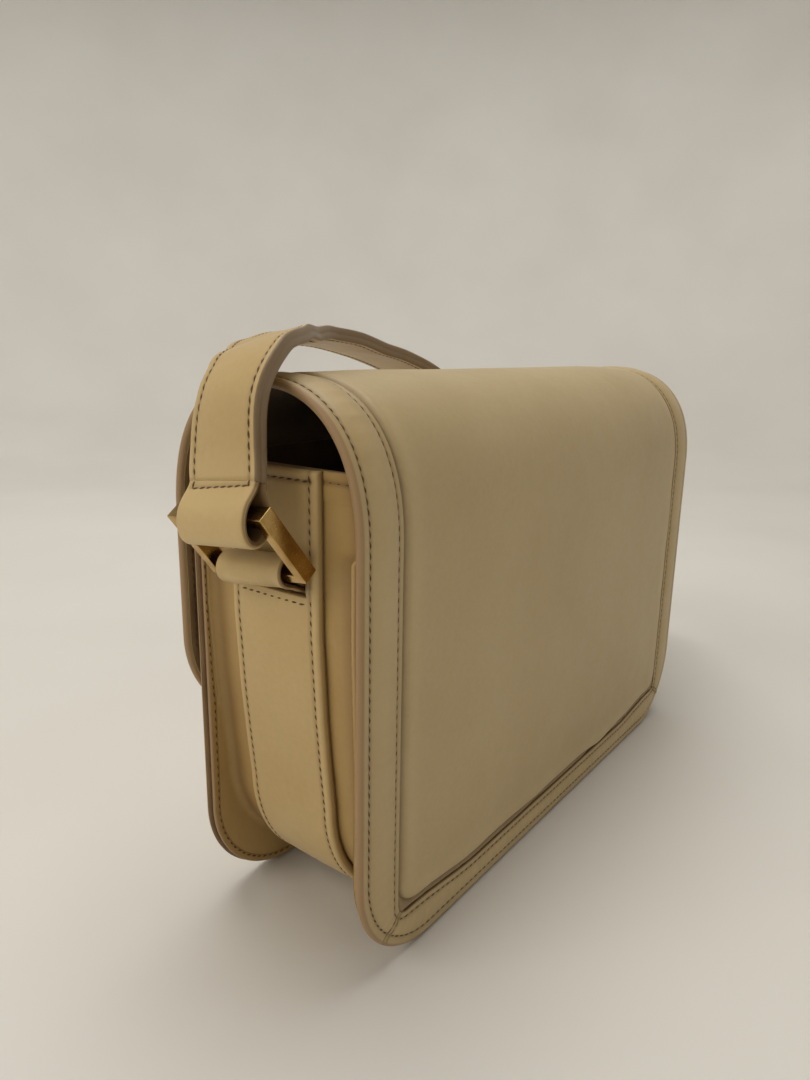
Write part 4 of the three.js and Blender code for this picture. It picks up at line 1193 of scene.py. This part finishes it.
def end_loop(name, at, up):
    """The strap's end round a ring's bar, sewn down at a slanted seam. Returns its rows of stitches."""
    ply = LOOP_SHEET / 2
    inner = BAR_CORNER + LOOP_SLACK
    reach, drop, neck = inner + ply, LOOP_DROP - ply, STRAP_SHEET / 2 - ply
    top = STRAP_NECK
    swell = bezier((neck, top), (neck + 0.2, top * 0.62), (reach, top * 0.42), (reach, -0.8), 16)
    right = np.concatenate([[(neck - 0.7, top + 1.6), (neck - 0.35, top + 0.7)], swell])
    turn = np.linspace(0, -math.pi, 30)[1:-1]
    under = np.stack([reach * np.cos(turn), -0.8 + (drop - 0.8) * np.sin(turn)], -1)
    path = np.concatenate([right, under, (right * (-1, 1))[::-1]])
    ahead = unit(np.gradient(path, axis=0))
    normal = np.stack([-ahead[:, 1], ahead[:, 0]], -1)
    out = np.cross(up, at["across"])
    edge = STRAP_WIDTH / 2
    rim = np.linspace(0, math.pi / 2, 4)
    seam_x = edge - STRAP_ROW
    half = [*[edge - ply + ply * math.cos(a) for a in rim], seam_x + 0.5, seam_x, seam_x - 0.5, 8.0, 5.0, 2.5]
    lift = [*[ply * math.sin(a) for a in rim], *[ply] * 6]
    columns, lifts = both_halves(half, lift, ply)
    seam = SEAM_LEVEL + SEAM_SLANT * columns / edge
    run = run_along(path)
    rings, shades_and_highlights = [], []
    for i, (px, pz) in enumerate(path):
        soft = ripple(columns, run[i], 10, 7.7) * 0.18 * (1 - smooth(pz, 2, 6))
        sewn = np.maximum(0.28 * bell(np.abs(columns) - seam_x, 0.5) * (pz > seam),
                          0.3 * bell(pz - seam, 0.55) * (np.abs(columns) < seam_x + 0.6))
        outward = np.concatenate([lifts + soft - sewn, (-lifts + soft)[::-1]])
        ys = np.concatenate([columns, columns[::-1]]) * (1 - 0.05 * smooth(pz, top + 0.1, top + 0.7))
        u, v = px + normal[i, 0] * outward, pz + normal[i, 1] * outward
        rings.append(at["end"] + out * u[:, None] + up * v[:, None] + at["across"] * ys[:, None])
        # A painted highlight on the loop below the seam, and painted shade in the seam's grooves, along the
        # edges and over the inner face.
        shade = 0.22 * smooth(seam - pz, 0.2, 1.0) - 1.2 * sewn - 0.75 * (np.abs(columns) > edge - 0.5)
        shades_and_highlights.append(np.concatenate([shade, np.full(len(columns), -0.8)]))
    swept(name, rings, strap_leather, shade_and_highlight=shades_and_highlights)
    outer = (path + normal * ply)[:len(right)]
    across = spaced(-seam_x, seam_x, 1.5)
    lines = [(across, SEAM_LEVEL + SEAM_SLANT * across / edge)]
    for y in (-seam_x, seam_x):
        v = spaced(top, SEAM_LEVEL + SEAM_SLANT * y / edge, 0.6)
        lines.append((np.full(len(v), y), v))
    rows = []
    for way in (1, -1):
        for y, v in lines:
            u = np.interp(v, outer[::-1, 1], outer[::-1, 0]) * way
            path = at["end"] + out * u[:, None] + up * v[:, None] + at["across"] * y[:, None]
            rows.append((path - out * 0.1 * way, np.tile(out * way, (len(v), 1))))
    return rows


# Hidden fastener
def snap():
    """A plain round fastener: a socket with a rolled rim and a domed cap, between the flap and the panel."""
    flap_inner = FLAP_FACE + BORDER_SHEET + SEAT + PANEL_SHEET
    low, high = flap_inner + SEAT, FRONT_FACE - SEAT
    depth = high - low
    shape = ((0.0, 0.0), (0.55, 0.0), (0.8, 0.06), (0.95, 0.14), (1.0, 0.24), (0.96, 0.34), (0.62, 0.4),
             (0.6, 0.55), (0.9, 0.62), (1.0, 0.72), (0.98, 0.86), (0.85, 0.95), (0.6, 1.0), (0.0, 1.0))
    around = 48
    points, faces = [(0.0, low, SNAP_Z)], []
    for radius, share in shape[1:-1]:
        for k in range(around):
            angle = 2 * math.pi * k / around
            points.append((SNAP_RADIUS * radius * math.cos(angle), low + depth * share,
                           SNAP_Z + SNAP_RADIUS * radius * math.sin(angle)))
    points.append((0.0, high, SNAP_Z))
    at = lambda r, k: 1 + r * around + k % around
    rows = len(shape) - 2
    for k in range(around):
        faces.append((0, at(0, k), at(0, k + 1)))
        faces.append((len(points) - 1, at(rows - 1, k + 1), at(rows - 1, k)))
        for r in range(rows - 1):
            faces.append((at(r, k), at(r + 1, k), at(r + 1, k + 1), at(r, k + 1)))
    make_piece("fastener", points, faces, [brass], ["snap"])


# The whole satchel
back_flap_panel()
border_rows = []
for side, word in ((1, "right"), (-1, "left")):
    border_rows += border("side_border_" + word, side_pairs(side), "border_side_" + word)
for at_back, word in ((True, "back"), (False, "flap")):
    border_rows += border(word + "_border", end_pairs(at_back), "border_" + word + "_bottom")
stitches("stitches_borders", border_rows)
stitches("stitches_front", [front_panel()])
stitches("stitches_gusset", gusset())
stitches("stitches_band", gusset_band())
chape("chape_loop_right", 1, RIGHT_RING_ROLL, "chape_right")
chape("chape_loop_left", -1, 0.0, "chape_left")
right_ring = ring_frame(1, RIGHT_RING_TILT, RIGHT_RING_ROLL)
left_ring = ring_frame(-1, LEFT_RING_TILT, 0.0)
ring("brass_ring_right", right_ring, "ring_right")
ring("brass_ring_left", left_ring, "ring_left")
strap_way = strap_line(right_ring, left_ring)
strap_rows = strap(strap_way)
for word, at, up in (("right", right_ring, strap_way[-1]), ("left", left_ring, left_ring["up"])):
    strap_rows += end_loop("strap_loop_" + word, at, up)
stitches("stitches_strap", strap_rows)
snap()

# Floor, light and camera
FLOOR_REACH = 2.1
WALL_START = 0.8
WALL_RISE = 2.0

# Lamps (name, place, size, power, colour) and the spot they face, in metres
LAMPS = (
    ("key", (1.5, -0.4, 1.2), 1.1, 10.5, (1.0, 0.96, 0.9)),
    ("top", (-0.15, -0.25, 1.75), 1.4, 21, (1.0, 0.98, 0.95)),
)
LIT_SPOT = (0.04, 0.04, 0.1)
SKY = (0.92, 0.93, 0.95, 1.0)
SKY_STRENGTH = 0.08

# The camera's place in bag millimetres, its turns in degrees and its focal length as a share of the
# picture's height
EYE = (278.94, 163.7, 192.09)
EYE_YAW = 217.4
EYE_PITCH = 13.85
EYE_ROLL = 0.94
EYE_FOCUS = 772.44 / 1080
SENSOR = 36.0


def floor():
    """A pale floor that sweeps up far from the satchel."""
    rows, turns = 40, 96
    at = lambda i, k: i * turns + k % turns
    around = [2 * math.pi * k / turns for k in range(turns)]
    points = []
    for i in range(rows):
        reach = FLOOR_REACH * i / (rows - 1)
        rise = WALL_RISE * max(0.0, (reach - WALL_START) / (FLOOR_REACH - WALL_START)) ** 3
        points += [(reach * math.cos(angle), reach * math.sin(angle), rise) for angle in around]
    faces = [(at(i, k), at(i + 1, k), at(i + 1, k + 1), at(i, k + 1))
             for i in range(1, rows - 1) for k in range(turns)]
    faces.append(tuple(turns + k for k in range(turns)))
    mesh = bpy.data.meshes.new("floor")
    mesh.from_pydata(points, [], faces)
    mesh.polygons.foreach_set("use_smooth", np.ones(len(mesh.polygons), bool))
    n = Nodes("floor_paint")
    where = n.where()
    cloud = n.ramp(n.wave(where, 0.004, 3.0), 0.3, 0.7)
    colour = n.mixed(cloud, linear(226, 223, 216), linear(220, 216, 208))
    n.to("Base Color", colour)
    n.to("Roughness", 0.55)
    mesh.materials.append(n.material)
    piece = bpy.data.objects.new("floor", mesh)
    bpy.context.scene.collection.objects.link(piece)


def lamp(name, spot, size, power, colour):
    """A soft square lamp that faces the satchel."""
    light = bpy.data.lights.new(name, "AREA")
    light.shape = "SQUARE"
    light.size = size
    light.energy = power
    light.color = colour
    piece = bpy.data.objects.new(name, light)
    piece.location = spot
    piece.rotation_euler = (Vector(LIT_SPOT) - Vector(spot)).to_track_quat("-Z", "Y").to_euler()
    piece.visible_camera = False
    bpy.context.scene.collection.objects.link(piece)


def camera():
    """The photograph's camera, solved from the bag's own edges."""
    yaw, pitch, roll = [math.radians(turn) for turn in (EYE_YAW, EYE_PITCH, EYE_ROLL)]
    ahead = np.array((math.cos(yaw) * math.cos(pitch), math.sin(yaw) * math.cos(pitch), -math.sin(pitch)))
    right = np.array((math.sin(yaw), -math.cos(yaw), 0.0))
    up = np.cross(right, ahead)
    right, up = right * math.cos(roll) + up * math.sin(roll), up * math.cos(roll) - right * math.sin(roll)
    data = bpy.data.cameras.new("camera")
    data.sensor_fit = "VERTICAL"
    data.sensor_height = SENSOR
    data.lens = EYE_FOCUS * SENSOR
    data.clip_start = 0.01
    eye = bpy.data.objects.new("camera", data)
    turn = Matrix((right, up, -ahead)).transposed().to_4x4()
    eye.matrix_world = Matrix.Translation(place(EYE)) @ turn
    bpy.context.scene.collection.objects.link(eye)
    bpy.context.scene.camera = eye


floor()
camera()
for values in LAMPS:
    lamp(*values)
world = bpy.data.worlds.new("studio")
bpy.context.scene.world = world
world.use_nodes = True
sky = world.node_tree.nodes["Background"].inputs
sky["Color"].default_value = SKY
sky["Strength"].default_value = SKY_STRENGTH
bpy.context.scene.view_settings.view_transform = "Standard"

bpy.context.view_layer.update()
